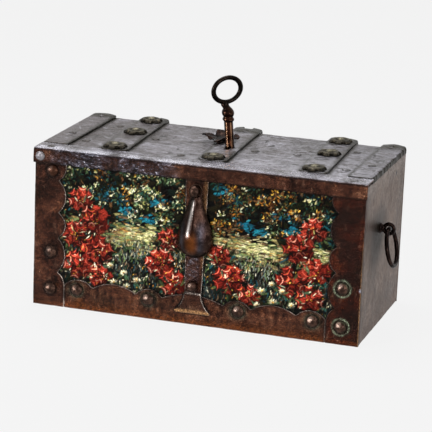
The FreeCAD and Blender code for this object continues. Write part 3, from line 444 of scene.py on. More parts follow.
# turned key iron: coppery brown and polished on the stem, with painted highlight lines down it, blackened on
# the bow
brownedKeyIron = {
    "axes": "z",
    "patterns": {"cloud": (6, 5, 0.6)},
    "tones": [(0.30, "#140803"), (0.52, "#351a10"), (0.72, "#6b452f")],
    # painted highlight lines down the stem
    "layers": [("#c99a76", "rubbed"),
               (("cloud", [(0.35, "#080605"), (0.70, "#1f1814")]), ("z", 184, 212))],
    "rough": ("cloud", 0.3, 0.7, 0.12, 0.26),
    "depth": 0.3, "strength": 0.2, "metallic": 0.95,
}

# forged drop rubbed by hands: dark brown with a painted blue-grey sheen on its flanks, a painted highlight
# line down the ridge beside painted shade, a painted highlight on its right edge, and orange rust low in the
# middle
burnishedDropIron = {
    "patterns": {"cloud": (12, 6, 0.62), "grit": (2, 3, 0.7)},
    "blobs": {"belly": ((0, -96, 86), (7, 9, 13))},
    "tone": {"cloud": 1.0, "grit": 0.25},
    "tones": [(0.42, "#0c0503"), (0.58, "#22140f"), (0.72, "#3b2a23"), (0.90, "#6b564b")],
    # painted sheen on the flanks, painted shade beside the ridge, painted highlights on the ridge and right
    # edge
    "layers": [("#41434d", "flank", ("tone", 0.46, 0.78, 0.1, 0.8)),
               ("#7a4219", ("belly", 1.15, 0.3, 0.0, 0.9), ("tone", 0.45, 0.8, 0.35, 1.0)),
               ("#170804", "groove"), ("#cfc6c2", "rubbed"), ("#b59a80", "edge")],
    "rough": ("cloud", 0.3, 0.7, 0.16, 0.32),
    "depth": 1.2, "strength": 0.6, "metallic": 0.95,
}

# cast bronze dome: brown with a painted highlight on the crown, grey-green corrosion round the foot
bronzeRivet = {
    "patterns": {"cloud": (4.5, 5, 0.65)},
    "tones": [(0.30, "#1c100b"), (0.50, "#3c2a22"), (0.66, "#644a3e"), (0.80, "#a08576")],
    "layers": [("#5d7256", "halo", ("cloud", 0.35, 0.6, 0.2, 0.9)),
               # painted highlight on the crown
               ("#3c1f10", "rust"), ("#c0a596", "crown")],
    "rough": ("cloud", 0.3, 0.7, 0.18, 0.34),
    "depth": 1.2, "strength": 0.6, "metallic": 0.9,
}

# stamped iron rosettes: dark olive-brown, dirt between the petals and rubbed tips
oliveRosetteIron = {
    "patterns": {"cloud": (4.5, 6, 0.68)},
    "tones": [(0.36, "#0a0807"), (0.47, "#221e18"), (0.58, "#3a342a"), (0.72, "#746d5d")],
    "layers": [("#857f6c", "rub"), ("#0e0c07", "grime")],
    "rough": ("cloud", 0.3, 0.7, 0.32, 0.5),
    "depth": 1.4, "strength": 0.8, "metallic": 0.8, "grazing": 0.6,
}

# lock work filed bright and oiled: grey, brown in the corners, file strokes drawn coarse so that they show
filedLockIron = {
    "patterns": {"strokes": ((30, 1.2, 2), 3, 0.6), "cloud": (30, 5, 0.6)},
    "tone": {"cloud": 1.0, "strokes": 0.4},
    "tones": [(0.50, "#3a2c22"), (0.62, "#5f5a56"), (0.78, "#85827f"), (0.92, "#a6a4a2")],
    "rough": ("tone", 0.45, 0.9, 0.46, 0.3),
    "relief": {"strokes": 1.0}, "depth": 0.4, "strength": 0.35, "metallic": 0.9,
}

# plate behind the lock: forge-black iron rubbed with oil, dark brown-grey, scratches drawn coarse to show
oiledPlateIron = {
    "patterns": {"scratches": ((40, 1.6, 2), 3, 0.6), "cloud": (35, 6, 0.65)},
    "tone": {"cloud": 1.0, "scratches": 0.35},
    "tones": [(0.50, "#15100d"), (0.64, "#2b2420"), (0.78, "#433a34"), (0.92, "#6a5f57")],
    "rough": ("cloud", 0.3, 0.7, 0.34, 0.5),
    "relief": {"scratches": 1.0}, "depth": 0.4, "strength": 0.35, "metallic": 0.85,
}

# the inside: sheet iron with its dark forge scale and a little rust
innerScaleIron = {
    "patterns": {"cloud": (30, 7, 0.66)},
    "tones": [(0.34, "#1f1a18"), (0.50, "#3a322e"), (0.62, "#514036"), (0.76, "#7a5136")],
    "rough": ("cloud", 0.3, 0.7, 0.42, 0.66),
    "depth": 1.4, "strength": 0.5, "metallic": 0.6,
}

# oil paint on sheet iron under old varnish: thick dabs, fine cracks, a soft gloss
varnishedOilPaint = {
    "grain": (1.4, 4, 0.7), "grainSpan": (0.3, 0.7), "tintFrom": 0.62, "tintTo": (1.42, 1.40, 1.34),
    "crackSize": 7, "crackSpan": (0.0, 0.03, 0.4, 0.0), "crackColour": "#140d08", "rough": (0.34, 0.5),
    "depth": 0.6, "strength": 0.6, "metallic": 0.0, "specular": 0.04,
}


def mixPaint(name, s):
    mat = clearNodes(bpy.data.materials.new(name))
    place = addNode(mat, "place")
    size, *character = s["grain"]
    grain = addNode(mat, "noise", place, 1 / (size * mm), *character)
    parts = [addNode(mat, "range", grain, *s["grainSpan"], s["tintFrom"], top) for top in s["tintTo"]]
    paint = addNode(mat, "painted", attribute_name="paint")
    colour = addNode(mat, "tint", 1.0, paint, addNode(mat, "colour", *parts))
    cracks = addNode(mat, "cracks", place, 1 / (s["crackSize"] * mm))
    colour = addNode(mat, "mix", addNode(mat, "range", cracks, *s["crackSpan"]), colour, s["crackColour"])
    return addShader(mat, colour, addNode(mat, "range", grain, *s["grainSpan"], *s["rough"]), grain, s)


hammered = mixIron("hammered_sheet_iron", hammeredSheetIron, addLidSources)
brownIron = mixIron("varnished_brown_iron", varnishedBrownIron)
sheetIron = mixIron("weathered_sheet_iron", weatheredSheetIron)
darkIron = mixIron("dark_forged_iron", darkForgedIron)
keyIron = mixIron("browned_key_iron", brownedKeyIron)
dropIron = mixIron("burnished_drop_iron", burnishedDropIron)
rivetBronze = mixIron("bronze_rivet", bronzeRivet)
rosetteIron = mixIron("olive_rosette_iron", oliveRosetteIron)
lockIron = mixIron("filed_lock_iron", filedLockIron)
plateIron = mixIron("oiled_plate_iron", oiledPlateIron)
innerIron = mixIron("inner_scale_iron", innerScaleIron)
oilPaint = mixPaint("varnished_oil_paint", varnishedOilPaint)
print("materials mixed")


# CAD nodes that keep their own mesh

keptNodes = [
    (sheetIron, ["back_plate", "bolt_staples"]),
    (darkIron, ["left_hinge_leaf", "centre_hinge_leaf", "right_hinge_leaf", "hinge_pins", "cover_rivet"]),
    (rivetBronze, ["back_rivets", "crank_pins"]),
    (innerIron, ["front_plate", "base_plate", "foot_bars", "corner_angles", "catch_rim"]),
    (plateIron, ["lock_plate"]),
    (lockIron, ["key_bridge", "drag_spring", "main_bolt", "left_crank", "right_crank", "left_bolt",
                "right_bolt"]),
]

for mat, nodeNames in keptNodes:
    for nodeName in nodeNames:
        dress(nodes[nodeName], mat)
print("kept nodes dressed:", sum(len(nodeNames) for mat, nodeNames in keptNodes))


# forged pieces: each starts from its CAD solid and is worked to a hammered, rubbed-down skin

forgeSettings = {
    "weld": 0.005, "rubShare": 0.5, "blowDetail": 2, "blowMiddle": 0.5,
    "pieces": [     # voxel, rounds of smoothing, height and width of the hammering, material
        (["lid_plate"], 1.2, 2, 1.0, 12, hammered),
        (["left_side_plate", "right_side_plate"], 1.1, 2, 0.7, 17, sheetIron),
        (["lid_front_band"], 0.8, 3, 0.8, 9, brownIron),
        (["left_edge_strap"], 0.8, 4, 0.7, 13, hammered),
        (["right_edge_strap"], 0.7, 4, 0.9, 9, hammered),
        (["left_lid_strap", "centre_lid_strap", "right_lid_strap"], 0.75, 4, 0.7, 11, hammered),
        (["left_corner_strap", "right_corner_strap"], 0.6, 4, 0.45, 11, brownIron),
        (["base_strap"], 0.65, 4, 0.45, 11, brownIron),
        (["centre_strap"], 0.6, 4, 0.45, 11, brownIron),
        (["drop_cover"], 0.5, 2, 0.35, 10, dropIron),
        (["drop_cover_stud", "centre_strap_stud"], 0.4, 3, 0.2, 5, rivetBronze),
        (["front_rivets"], 0.4, 3, 0.5, 5, rivetBronze),
        (["lid_rivets"], 0.4, 3, 0.6, 5, hammered),
        (["band_rivet"], 0.35, 3, 0.3, 4, hammered),
        (["lid_rosettes"], 0.4, 2, 1.3, 4.5, rosetteIron),
        (["keyhole_cover"], 0.35, 2, 0.9, 7, darkIron),
        (["key"], 0.42, 3, 0.14, 6, keyIron),
        (["left_ring", "right_ring"], 0.45, 3, 0.3, 8, darkIron),
        (["left_ring_eye", "right_ring_eye"], 0.42, 3, 0.35, 6, darkIron),
    ],
}


def forge(s, nodeName, voxel, rounds, height, width, mat):
    piece = bpy.data.objects.new("forged_" + nodeName, nodes[nodeName].data.copy())
    bpy.context.scene.collection.objects.link(piece)
    only(piece)
    bpy.ops.object.mode_set(mode="EDIT")
    bpy.ops.mesh.select_all(action="SELECT")
    bpy.ops.mesh.remove_doubles(threshold=s["weld"] * mm)
    bpy.ops.object.mode_set(mode="OBJECT")
    skin = piece.modifiers.new("skin", "REMESH")
    skin.mode = "VOXEL"
    skin.voxel_size = voxel * mm
    bpy.ops.object.modifier_apply(modifier=skin.name)
    rub = piece.modifiers.new("rub", "SMOOTH")
    rub.factor = s["rubShare"]
    rub.iterations = rounds
    bpy.ops.object.modifier_apply(modifier=rub.name)
    blows = bpy.data.textures.new(nodeName + "_blows", "CLOUDS")
    blows.noise_scale = width * mm
    blows.noise_depth = s["blowDetail"]
    hammer = piece.modifiers.new("hammer", "DISPLACE")
    hammer.texture = blows
    hammer.texture_coords = "LOCAL"
    hammer.strength = height * mm
    hammer.mid_level = s["blowMiddle"]
    bpy.ops.object.modifier_apply(modifier=hammer.name)
    bpy.ops.object.shade_smooth()
    dress(piece, mat)
    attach(piece, nodes[nodeName]["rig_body"])
    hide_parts(nodeName)
    return piece


forged = {}
for nodeNames, *work in forgeSettings["pieces"]:
    for nodeName in nodeNames:
        forged[nodeName] = forge(forgeSettings, nodeName, *work)
print("pieces forged:", len(forged))


# bends and wear that change a piece's shape

def bend(nodeName, change, s):
    co = points(forged[nodeName])
    change(s, *co.T)
    setPoints(forged[nodeName], co)


# a key that leans a little in its worn hole, with its bow slanted and squashed
keyBend = {"foot": 166.0, "lean": 0.10, "bowFoot": 203.0, "bowNeck": 208.0, "bowMiddle": 221.0,
           "bowSlant": 0.21, "bowSquash": 0.05}


def leanKey(s, x, y, z):
    inBow = np.clip(z - s["bowFoot"], 0, None)
    x += s["bowSlant"] * (z - s["bowMiddle"]) * fade(z, s["bowFoot"], s["bowNeck"])
    x -= s["lean"] * np.clip(z - s["foot"], 0, None)
    z -= s["bowSquash"] * inBow


# cover lobes curled up like dry leaves
coverBend = {"centre": (-11.6, 27.0), "curl": (4.875, 19.5), "lobeTurn": (45, 30), "cup": 0.05,
             "lift": {0: 1.6, 90: 3.0, 180: 2.6, 270: 1.2}}      # at each lobe's angle in degrees


def curlCover(s, x, y, z):
    dx = x - s["centre"][0]
    dy = y - s["centre"][1]
    away = np.hypot(dx, dy)
    way = np.degrees(np.arctan2(dy, dx)) % 360
    for angle, lift in s["lift"].items():
        turned = np.abs((way - angle + 180) % 360 - 180)
        side = away * np.sin(np.radians(turned))
        z += fade(turned, *s["lobeTurn"]) * fade(away, *s["curl"]) * (lift + s["cup"] * side * side)


# a low ridge down the drop cover
dropBend = {"ridge": 1.5, "width": 3.4, "height": (84.0, 112.0), "front": (-86.5, -89.5)}


def ridgeDrop(s, x, y, z):
    y -= s["ridge"] * fade(z, *s["height"]) * bell(x, 0.0, s["width"]) * fade(y, *s["front"])


# rosettes spread by wear
rosetteBend = {"columns": [-103.02, 0.0, 103.02], "rows": [-52.2, 16.0, 72.2], "rowReach": 12,
               "halfWidth": 22, "halfDepth": 13, "spread": 0.16}


def spreadRosettes(s, x, y, z):
    rows = [np.mean(y[np.abs(y - row) < s["rowReach"]]) for row in s["rows"]]
    for column in s["columns"]:
        for row in rows:
            near = (np.abs(x - column) < s["halfWidth"]) & (np.abs(y - row) < s["halfDepth"])
            for values in (x, y):
                if near.any():
                    middle = (values[near].max() + values[near].min()) / 2
                    values[near] += s["spread"] * (values[near] - middle)


# the lid's right edge, bent and nibbled
edgeBend = {"pieces": ["lid_plate", "right_edge_strap"], "width": 9.0, "depth": 1.8, "lift": 0.9,
            "waves": [(0.5, 0.31, 0.4), (0.3, 0.77, 1.9), (0.2, 1.63, 0.0)]}     # share, pace and start


def nibbleEdge(s, x, y, z):
    bite = 0.5 + 0.5 * sum(share * np.sin(y * pace + start) for share, pace, start in s["waves"])
    worn = fade(x, x.max() - s["width"], x.max())
    x -= worn * s["depth"] * bite
    z += worn * s["lift"] * (1 - bite)


# humps where the lid's straps end at the back
humpBend = {"start": (66.0, 75.0), "rise": 1.7, "above": 163.0,
            "halfWidths": {"left_edge_strap": 13, "right_edge_strap": 13, "left_lid_strap": 14.5,
                           "centre_lid_strap": 14.5, "right_lid_strap": 14.5}}


def humpStrap(s, x, y, z):
    middle = (x.max() + x.min()) / 2 if s["straight"] else np.mean(x[y > s["start"][0]])
    arch = np.clip(1 - ((x - middle) / s["half"]) ** 2, 0, 1)
    z += s["rise"] * arch * fade(y, *s["start"]) * (z > s["above"])


bend("key", leanKey, keyBend)
bend("keyhole_cover", curlCover, coverBend)
bend("drop_cover", ridgeDrop, dropBend)
bend("lid_rosettes", spreadRosettes, rosetteBend)
for nodeName in edgeBend["pieces"]:
    bend(nodeName, nibbleEdge, edgeBend)
for nodeName, half in humpBend["halfWidths"].items():
    bend(nodeName, humpStrap, dict(humpBend, half=half, straight="edge" in nodeName))
print("pieces bent")


# stains, wear, and painted light and shade

coverSettings = {"cell": 0.6, "half": 180.0, "rounds": 2}


def cells(values):
    s = coverSettings
    return np.clip(np.rint((values + s["half"]) / s["cell"]), 0, 2 * s["half"] / s["cell"]).astype(int)


def softCover(nodeNames, reach, axes=(0, 2)):
    # where the named pieces lie over the box, seen along one axis and blurred
    s = coverSettings
    count = int(2 * s["half"] / s["cell"]) + 1
    cover = np.zeros((count, count))
    for nodeName in nodeNames:
        co = points(forged[nodeName])
        cover[cells(co[:, axes[1]]), cells(co[:, axes[0]])] = 1
    for turn in range(s["rounds"]):
        for axis in (0, 1):
            cover = sum(np.roll(cover, k, axis) for k in range(-reach, reach + 1)) / (2 * reach + 1)
    return cover


def nearest(x, z, places):
    return np.min([np.hypot(x - px, z - pz) for px, pz in places], axis=0)


facings = {         # directions that faces with painted highlights and painted shade are turned to
    "tilted": (0, -0.25, 1), "handSide": (-0.22, -0.88, 0.42),
    "keyLeft": (-0.30, -0.954, 0), "keyRight": (0.72, -0.694, 0),
}


def wear(nodeName, marks, **values):
    # a mark is the largest of its products, whose parts are smooth ranges, given like those of a material, or
    # weights (what, weight). They go by a place, a part of the normal, a facing or one of the values
    piece = forged[nodeName]
    n = normals(piece)
    values.update(zip(("x", "y", "z", "nx", "ny", "nz"), [*points(piece).T, *n.T]))
    values.update({name: n @ np.array(way) for name, way in facings.items()})
    for markName, products in marks.items():
        shares = []
        for parts in products:
            share = np.ones(len(n))
            for name, *limits in parts:
                share = share * (fade(values[name], *limits) if len(limits) > 1 else limits[0] * values[name])
            shares.append(share)
        mark(piece, markName, np.maximum.reduce(shares))


plainWear = {       # pieces that need no more than their own shape
    "lid_plate": {"upper": [[("nz", -0.3, 0.3)]]},
    # the band: bare metal with painted glints on the left, painted sheen on its top with a painted highlight
    # along the front, painted shade along its top front edge and lower edge, and a red cast to the right
    "lid_front_band": {
        "bare": [[("x", -164, -134), ("x", -12, -42)]],
        "sheen": [[("nz", 0.6, 0.95)]],
        "rim": [[("nz", 0.6, 0.95), ("y", -73, -78), ("x", 40, -40, 0.35, 1.0)],
                [("nz", 0.6, 0.95), ("x", 60, 120, 0.0, 0.5)]],
        "soot": [[("z", 160.4, 162.0, 0.0, 0.85), ("ny", -0.5, -0.9)], [("z", 150.6, 148.6, 0.0, 0.8)]],
        "red": [[("x", 0, 60, 0.0, 0.2)]],
    },
    "lid_rosettes": {"rub": [[("z", 167.1, 169.5, 0.0, 0.8)]], "grime": [[("z", 166.1, 164.8)]]},
    # painted shade on the rivet heads, darkest where they turn from the light
    "lid_rivets": {"grime": [[("tilted", 0.985, 0.9, 0.45, 1.0)]]},
    # painted highlight on the rivet's front face and painted shade on its skirt
    "band_rivet": {"rub": [[("ny", -0.8, -0.97, 0.0, 0.35)]], "grime": [[("ny", -0.75, -0.45, 0.0, 0.9)]]},
    "front_rivets": {
        "halo": [[("x", 140, 140.01), ("y", -85.2, -84.2)]],
        "rust": [[("z", 120, 120.01, 0.0, 0.7)]],
        # painted highlight on the rivet crowns, fainter on the left
        "crown": [[("handSide", 0.90, 0.98), ("x", -110, -60, 0.1, 0.32)]],
    },
    "centre_strap_stud": {"crown": [[("handSide", 0.90, 0.98, 0.0, 0.32)]]},
    # painted highlight lines down the stem, on its front left and front right
    "key": {"rubbed": [[("keyLeft", 0.985, 0.998, 0.0, 0.8), ("z", 202, 196)],
                       [("keyRight", 0.985, 0.998, 0.0, 0.8), ("z", 202, 196)]]},
}

for nodeName, marks in plainWear.items():
    wear(nodeName, marks)


lidStrapWear = {
    "straps": ["left_edge_strap", "right_edge_strap", "left_lid_strap", "centre_lid_strap",
               "right_lid_strap"],
    "dirtReach": 4,
    "marks": {
        "upper": [[("nz", -0.3, 0.3)]],
        # dirt with painted shade round the rosettes, dirt at the straps' back ends, painted shade on their
        # sloping sides
        "grime": [[("dirt", 0.1, 0.55, 0.0, 0.85)], [("y", 62, 72, 0.0, 0.9)], [("nz", 0.93, 0.6, 0.0, 0.9)]],
    },
}


def wearLidStraps(s):
    roundRosettes = softCover(["lid_rosettes"], s["dirtReach"], (0, 1))
    for nodeName in s["straps"]:
        x, y, z = points(forged[nodeName]).T
        wear(nodeName, s["marks"], dirt=roundRosettes[cells(y), cells(x)])


strapWear = {
    "straps": {     # red varnish, wear with a painted sheen, painted highlight on the edges, and rust along the foot
        "left_corner_strap": (0.25, 0.0, 1.0, 0.4),
        "right_corner_strap": (1.0, 0.1, 0.3, 0.4),
        "base_strap": (0.45, 0.4, 0.45, 1.0),
        "centre_strap": (0.3, 0.2, 0.9, 0.4),
    },
    "rightRivets": [(151.5, 18), (151.5, 57)],
    "leftRivets": [(-151.5, 18), (-151.5, 57), (-151.5, 140.8)],
    "baseRivets": [(-123, 20), (-47, 20), (47, 20), (123, 20)],
    "ring": (8.5, 0.9), "sootSpot": (134, 112), "sootSlim": 2, "speck": (170, 57),
    "bandReach": 6, "footReach": 4, "coverReach": 3,
    "marks": {
        "halo": [[("ring", 0.85)], [("fromBase", 13, 6, 0.0, 0.14)]],
        "red": [[("varnish", 1.0)]],
        "foot": [[("footRust", 1.0)]],
        # painted highlight on the rounded front edges and along the right corner, partly wear
        "edge": [[("bright", 1.0), ("ny", -0.95, -0.7), ("y", -82.4, -82.41), ("x", 165, 164.99)]],
        "copper": [[("x", 168.9, 169.7, 0.0, 0.6), ("z", 130, 50)]],
        # painted sheen with wear, away from the strap's edges
        "glow": [[("rubbed", 1.0), ("cover", 0.62, 0.99), ("z", 3, 12)]],
        "sheen": [[("fromSpeck", 2.6, 1.3), ("x", 168, 168.01)]],
        # painted shade: under the band, round the foot and rivets, a patch high on the right strap, and along
        # the edges
        "soot": [[("underBand", 0.02, 0.4, 0.0, 0.9)], [("underFoot", 0.05, 0.45)],
                 [("fromRivet", 9.2, 7.4, 0.0, 0.8)], [("fromSpot", 34, 10.2, 0.0, 0.9)],
                 [("cover", 0.99, 0.62, 0.0, 0.55), ("z", 5, 5.01), ("ny", -0.7, -0.95)],
                 [("cover", 0.99, 0.62, 0.0, 0.55), ("z", 5, 5.01), ("y", -82.41, -82.4)]],
    },
    "centreMarks": {        # what the middle strap has besides
        # blue-grey patch, partly bare metal and partly painted sheen
        "bare": [[("z", 40, 48, 0.0, 0.4), ("z", 74, 66), ("x", 7, 3)]],
        # painted highlight on the right edge, worn gold along the foot
        "copper": [[("x", 5.5, 10, 0.0, 0.3), ("z", 60, 60.01)], [("fromFoot", 5, 2, 0.0, 0.8)]],
        # painted shade above the foot
        "soot": [[("z", 40, 34, 0.0, 0.5)]],
    },
}


def wearStraps(s):
    underBand = softCover(["lid_front_band"], s["bandReach"])
    underFoot = softCover(["centre_strap"], s["footReach"])
    spotX, spotZ = s["sootSpot"]
    for nodeName, (varnish, rubbed, bright, footRust) in s["straps"].items():
        x, y, z = points(forged[nodeName]).T
        here = (cells(z), cells(x))
        marks = dict(s["marks"])
        if nodeName == "centre_strap":
            marks.update({name: marks.get(name, []) + more for name, more in s["centreMarks"].items()})
        wear(nodeName, marks, varnish=varnish, rubbed=rubbed, bright=bright, footRust=footRust,
             cover=softCover([nodeName], s["coverReach"])[here], underBand=underBand[here],
             underFoot=underFoot[here] * (nodeName == "base_strap"), fromFoot=z - z.min(),
             ring=bell(nearest(x, z, s["rightRivets"]), *s["ring"]), fromBase=nearest(x, z, s["baseRivets"]),
             fromRivet=nearest(x, z, s["rightRivets"] + s["leftRivets"] + s["baseRivets"]),
             fromSpot=np.hypot((x - spotX) * s["sootSlim"], z - spotZ), fromSpeck=nearest(x, z, [s["speck"]]))


dropWear = {
    "line": ((97, 126), (-4.4, -1.2)),      # heights, and where across the drop the painted highlight line is there
    "lineWidth": 1.3, "grooveAside": 3.4, "grooveWidth": 1.5, "flanks": {-12.0: 2.6, 8.0: 3.4},
    "marks": {
        # a painted highlight down the ridge, painted shade beside it, painted sheen on the flanks, a painted
        # highlight on the right edge
        "rubbed": [[("ridge", 0.7), ("z", 90, 97), ("z", 130, 125)]],
        "groove": [[("hollow", 1.0), ("z", 90, 97), ("z", 130, 125)]],
        "flank": [[("sides", 1.0), ("z", 74, 82), ("z", 112, 98)]],
        "edge": [[("ny", -0.5, -0.2, 0.0, 0.7), ("ny", 0.4, 0.1), ("nx", 0.2, 0.201)]],
    },
}


def wearDrop(s):
    x, y, z = points(forged["drop_cover"]).T
    line = np.interp(z, *s["line"])
    wear("drop_cover", s["marks"], ridge=bell(x, line, s["lineWidth"]),
         hollow=bell(x, line + s["grooveAside"], s["grooveWidth"]),
         sides=sum(bell(x, middle, width) for middle, width in s["flanks"].items()))


wearLidStraps(lidStrapWear)
wearStraps(strapWear)
wearDrop(dropWear)
print("pieces worn and stained")


# the painted front: brush strokes laid on a fine canvas that follows the sheet between the straps

canvasSettings = {
    "seed": 11,
    "cell": 0.64,
    "left": -144.0, "right": 144.0, "low": 16.0, "high": 152.0,
    "back": -82.07,
    "relief": 0.6,
    "span": (-145, 145),        # strokes start a little outside the canvas
    "lightWay": 2.2,            # direction that the light comes from, in radians
}
brushSettings = {"bristles": 64, "streaks": 9, "softEdge": 0.9, "sag": 0.3, "thinCover": 0.72,
                 "darkStreak": 0.78, "lightStreak": 0.44, "lowBody": 0.35, "fullWidth": 3, "flatten": 0.6}
tuftSettings = {"vary": (0.7, 1.3), "stray": 0.35, "squash": 0.85, "curlBend": -1.4, "point": 1.2}
quarterTurn, halfTurn, fullTurn = 1.57, 3.14, 6.28
palette = {
    "night": ["#080605", "#0d0a07", "#120f09", "#090909"],
    "leafDark": ["#151a0c", "#1d200e", "#13201a", "#241f10"],
    "leafMid": ["#35452a", "#4b5a34", "#234a3e", "#3f5a40"],
    "leafBlue": ["#0e3440", "#154a58", "#0b2833", "#1d5c62"],
    "bark": ["#2c1c12", "#4a3220", "#6b4a2c", "#1c130d"],
    "leafLight": ["#8f9152", "#aca666", "#c9c08a", "#86a078", "#d9d3b0"],
    "leafPale": ["#dfd8b4", "#ece6cc", "#c8c298", "#b9c2a0"],
    "sky": ["#146880", "#1c788c", "#2a8492", "#0f4c60", "#17586a"],
    "ochre": ["#7a4816", "#a0641f", "#5c3212", "#bb8238"],
    "meadow": ["#8d8f52", "#b0a76c", "#737d48", "#cbc28e", "#9a8452"],
    "meadowPale": ["#dcd49c", "#cfc88e", "#ebe3b8", "#b5b878"],
    "meadowGreen": ["#566c42", "#6f8650", "#42583e", "#87985e"],
    "earth": ["#5c4634", "#735a42", "#48382b", "#86684a"],
    "grass": ["#171a18", "#1f2422", "#2c3230", "#2a221b"],
    "grassMid": ["#3c4442", "#4b524e", "#474a3c", "#5c4a3a"],
    "grassLight": ["#66736f", "#848c80", "#9a9a84", "#596762"],
    "redDeep": ["#260805", "#360c08", "#47120b"],
    "red": ["#6b1a13", "#822319", "#962d20", "#571510"],
    "redLight": ["#c04434", "#d25843", "#ac3729", "#de917a"],
    "cream": ["#e6dcb8", "#f0e6c8", "#d8c8a0"],
    "gold": ["#c8942e", "#dcae4a", "#a87624"],
}
palette = {name: [np.array(linear(c)[:3]) for c in colours] for name, colours in palette.items()}


class Canvas:
    def __init__(self, s):
        self.settings = s
        self.rng = random.Random(s["seed"])
        self.columns = int((s["right"] - s["left"]) / s["cell"])
        self.rows = int((s["high"] - s["low"]) / s["cell"])
        self.xs = np.linspace(s["left"], s["right"], self.columns + 1)
        self.zs = np.linspace(s["low"], s["high"], self.rows + 1)
        self.colour = np.zeros((self.rows + 1, self.columns + 1, 3))
        self.body = np.zeros((self.rows + 1, self.columns + 1))
        self.bristle = np.random.RandomState(s["seed"]).rand(brushSettings["bristles"])

    def pick(self, *names):
        return self.rng.choice(palette[self.rng.choice(names)])

    def lit(self, way):
        return math.cos(way - self.settings["lightWay"])

    def stroke(self, x, z, length, width, angle, colour, bend=0.0, cover=0.9, point=0.6):
        # a loaded brush: thick in the middle, streaked along its way, thin at its ends
        s = brushSettings
        reach = length / 2 + width
        i0, i1 = np.searchsorted(self.xs, (x - reach, x + reach))
        j0, j1 = np.searchsorted(self.zs, (z - reach, z + reach))
        if i1 - i0 < 1 or j1 - j0 < 1:
            return
        dx = self.xs[i0:i1][None, :] - x
        dz = self.zs[j0:j1][:, None] - z
        along = (dx * math.cos(angle) + dz * math.sin(angle)) / (length / 2)
        across = dz * math.cos(angle) - dx * math.sin(angle) - bend * width * (along * along - s["sag"])
        across = across / (width / 2)
        taper = np.sqrt(np.clip(1 - along * along, 0, 1)) ** point
        edge = np.clip((taper - np.abs(across)) * width / s["softEdge"], 0, 1) * (np.abs(along) < 1)
        streak = self.bristle[((across + 1) * s["streaks"]).astype(int) % s["bristles"]]
        alpha = (edge * cover * (s["thinCover"] + (1 - s["thinCover"]) * streak))[..., None]
        tint = colour * (s["darkStreak"] + s["lightStreak"] * streak[..., None])
        patch = (slice(j0, j1), slice(i0, i1))
        self.colour[patch] = self.colour[patch] * (1 - alpha) + tint * alpha
        lift = edge * (s["lowBody"] + (1 - s["lowBody"]) * streak) * min(1.0, width / s["fullWidth"])
        self.body[patch] = np.maximum(self.body[patch] * (1 - s["flatten"] * edge), lift)

    def dab(self, x, z, lengths, widths, angles, names, **more):
        r = self.rng
        size = r.uniform(*lengths), r.uniform(*widths)
        self.stroke(x, z, *size, r.uniform(*angles), self.pick(*names), **more)

    def fill(self, count, zs, gathered=False, **dab):
        # zs is a lowest and highest place, or a middle and spread where the strokes are gathered
        r = self.rng
        for n in range(count):
            x = r.uniform(*self.settings["span"])
            self.dab(x, r.gauss(*zs) if gathered else r.uniform(*zs), **dab)

    def tuft(self, count, x, z, reach, names, length, width, light=0.0, curl=0.0):
        # leaves round one spot, pointing outwards or curled round it; light leaves out some in the shade
        r = self.rng
        s = tuftSettings
        for n in range(count):
            way = r.uniform(0, 2 * math.pi)
            out = reach * math.sqrt(r.random())
            if light and self.lit(way) < r.uniform(-1, 1) * (1 - light):
                continue
            self.stroke(x + out * math.cos(way), z + s["squash"] * out * math.sin(way),
                        length * r.uniform(*s["vary"]), width * r.uniform(*s["vary"]),
                        way + curl * quarterTurn + r.gauss(0, s["stray"]), self.pick(*names),
                        bend=s["curlBend"] * curl, point=s["point"])


groundSettings = [
    dict(count=1100, zs=(14, 154), names=["night", "leafDark"], lengths=(10, 24), widths=(5, 10),
         angles=(-0.6, 0.6), cover=1.0),
    dict(count=560, zs=(14, 74), names=["grass", "grass", "night"], lengths=(9, 20), widths=(2.4, 5),
         angles=(1.1, 2.0)),
]


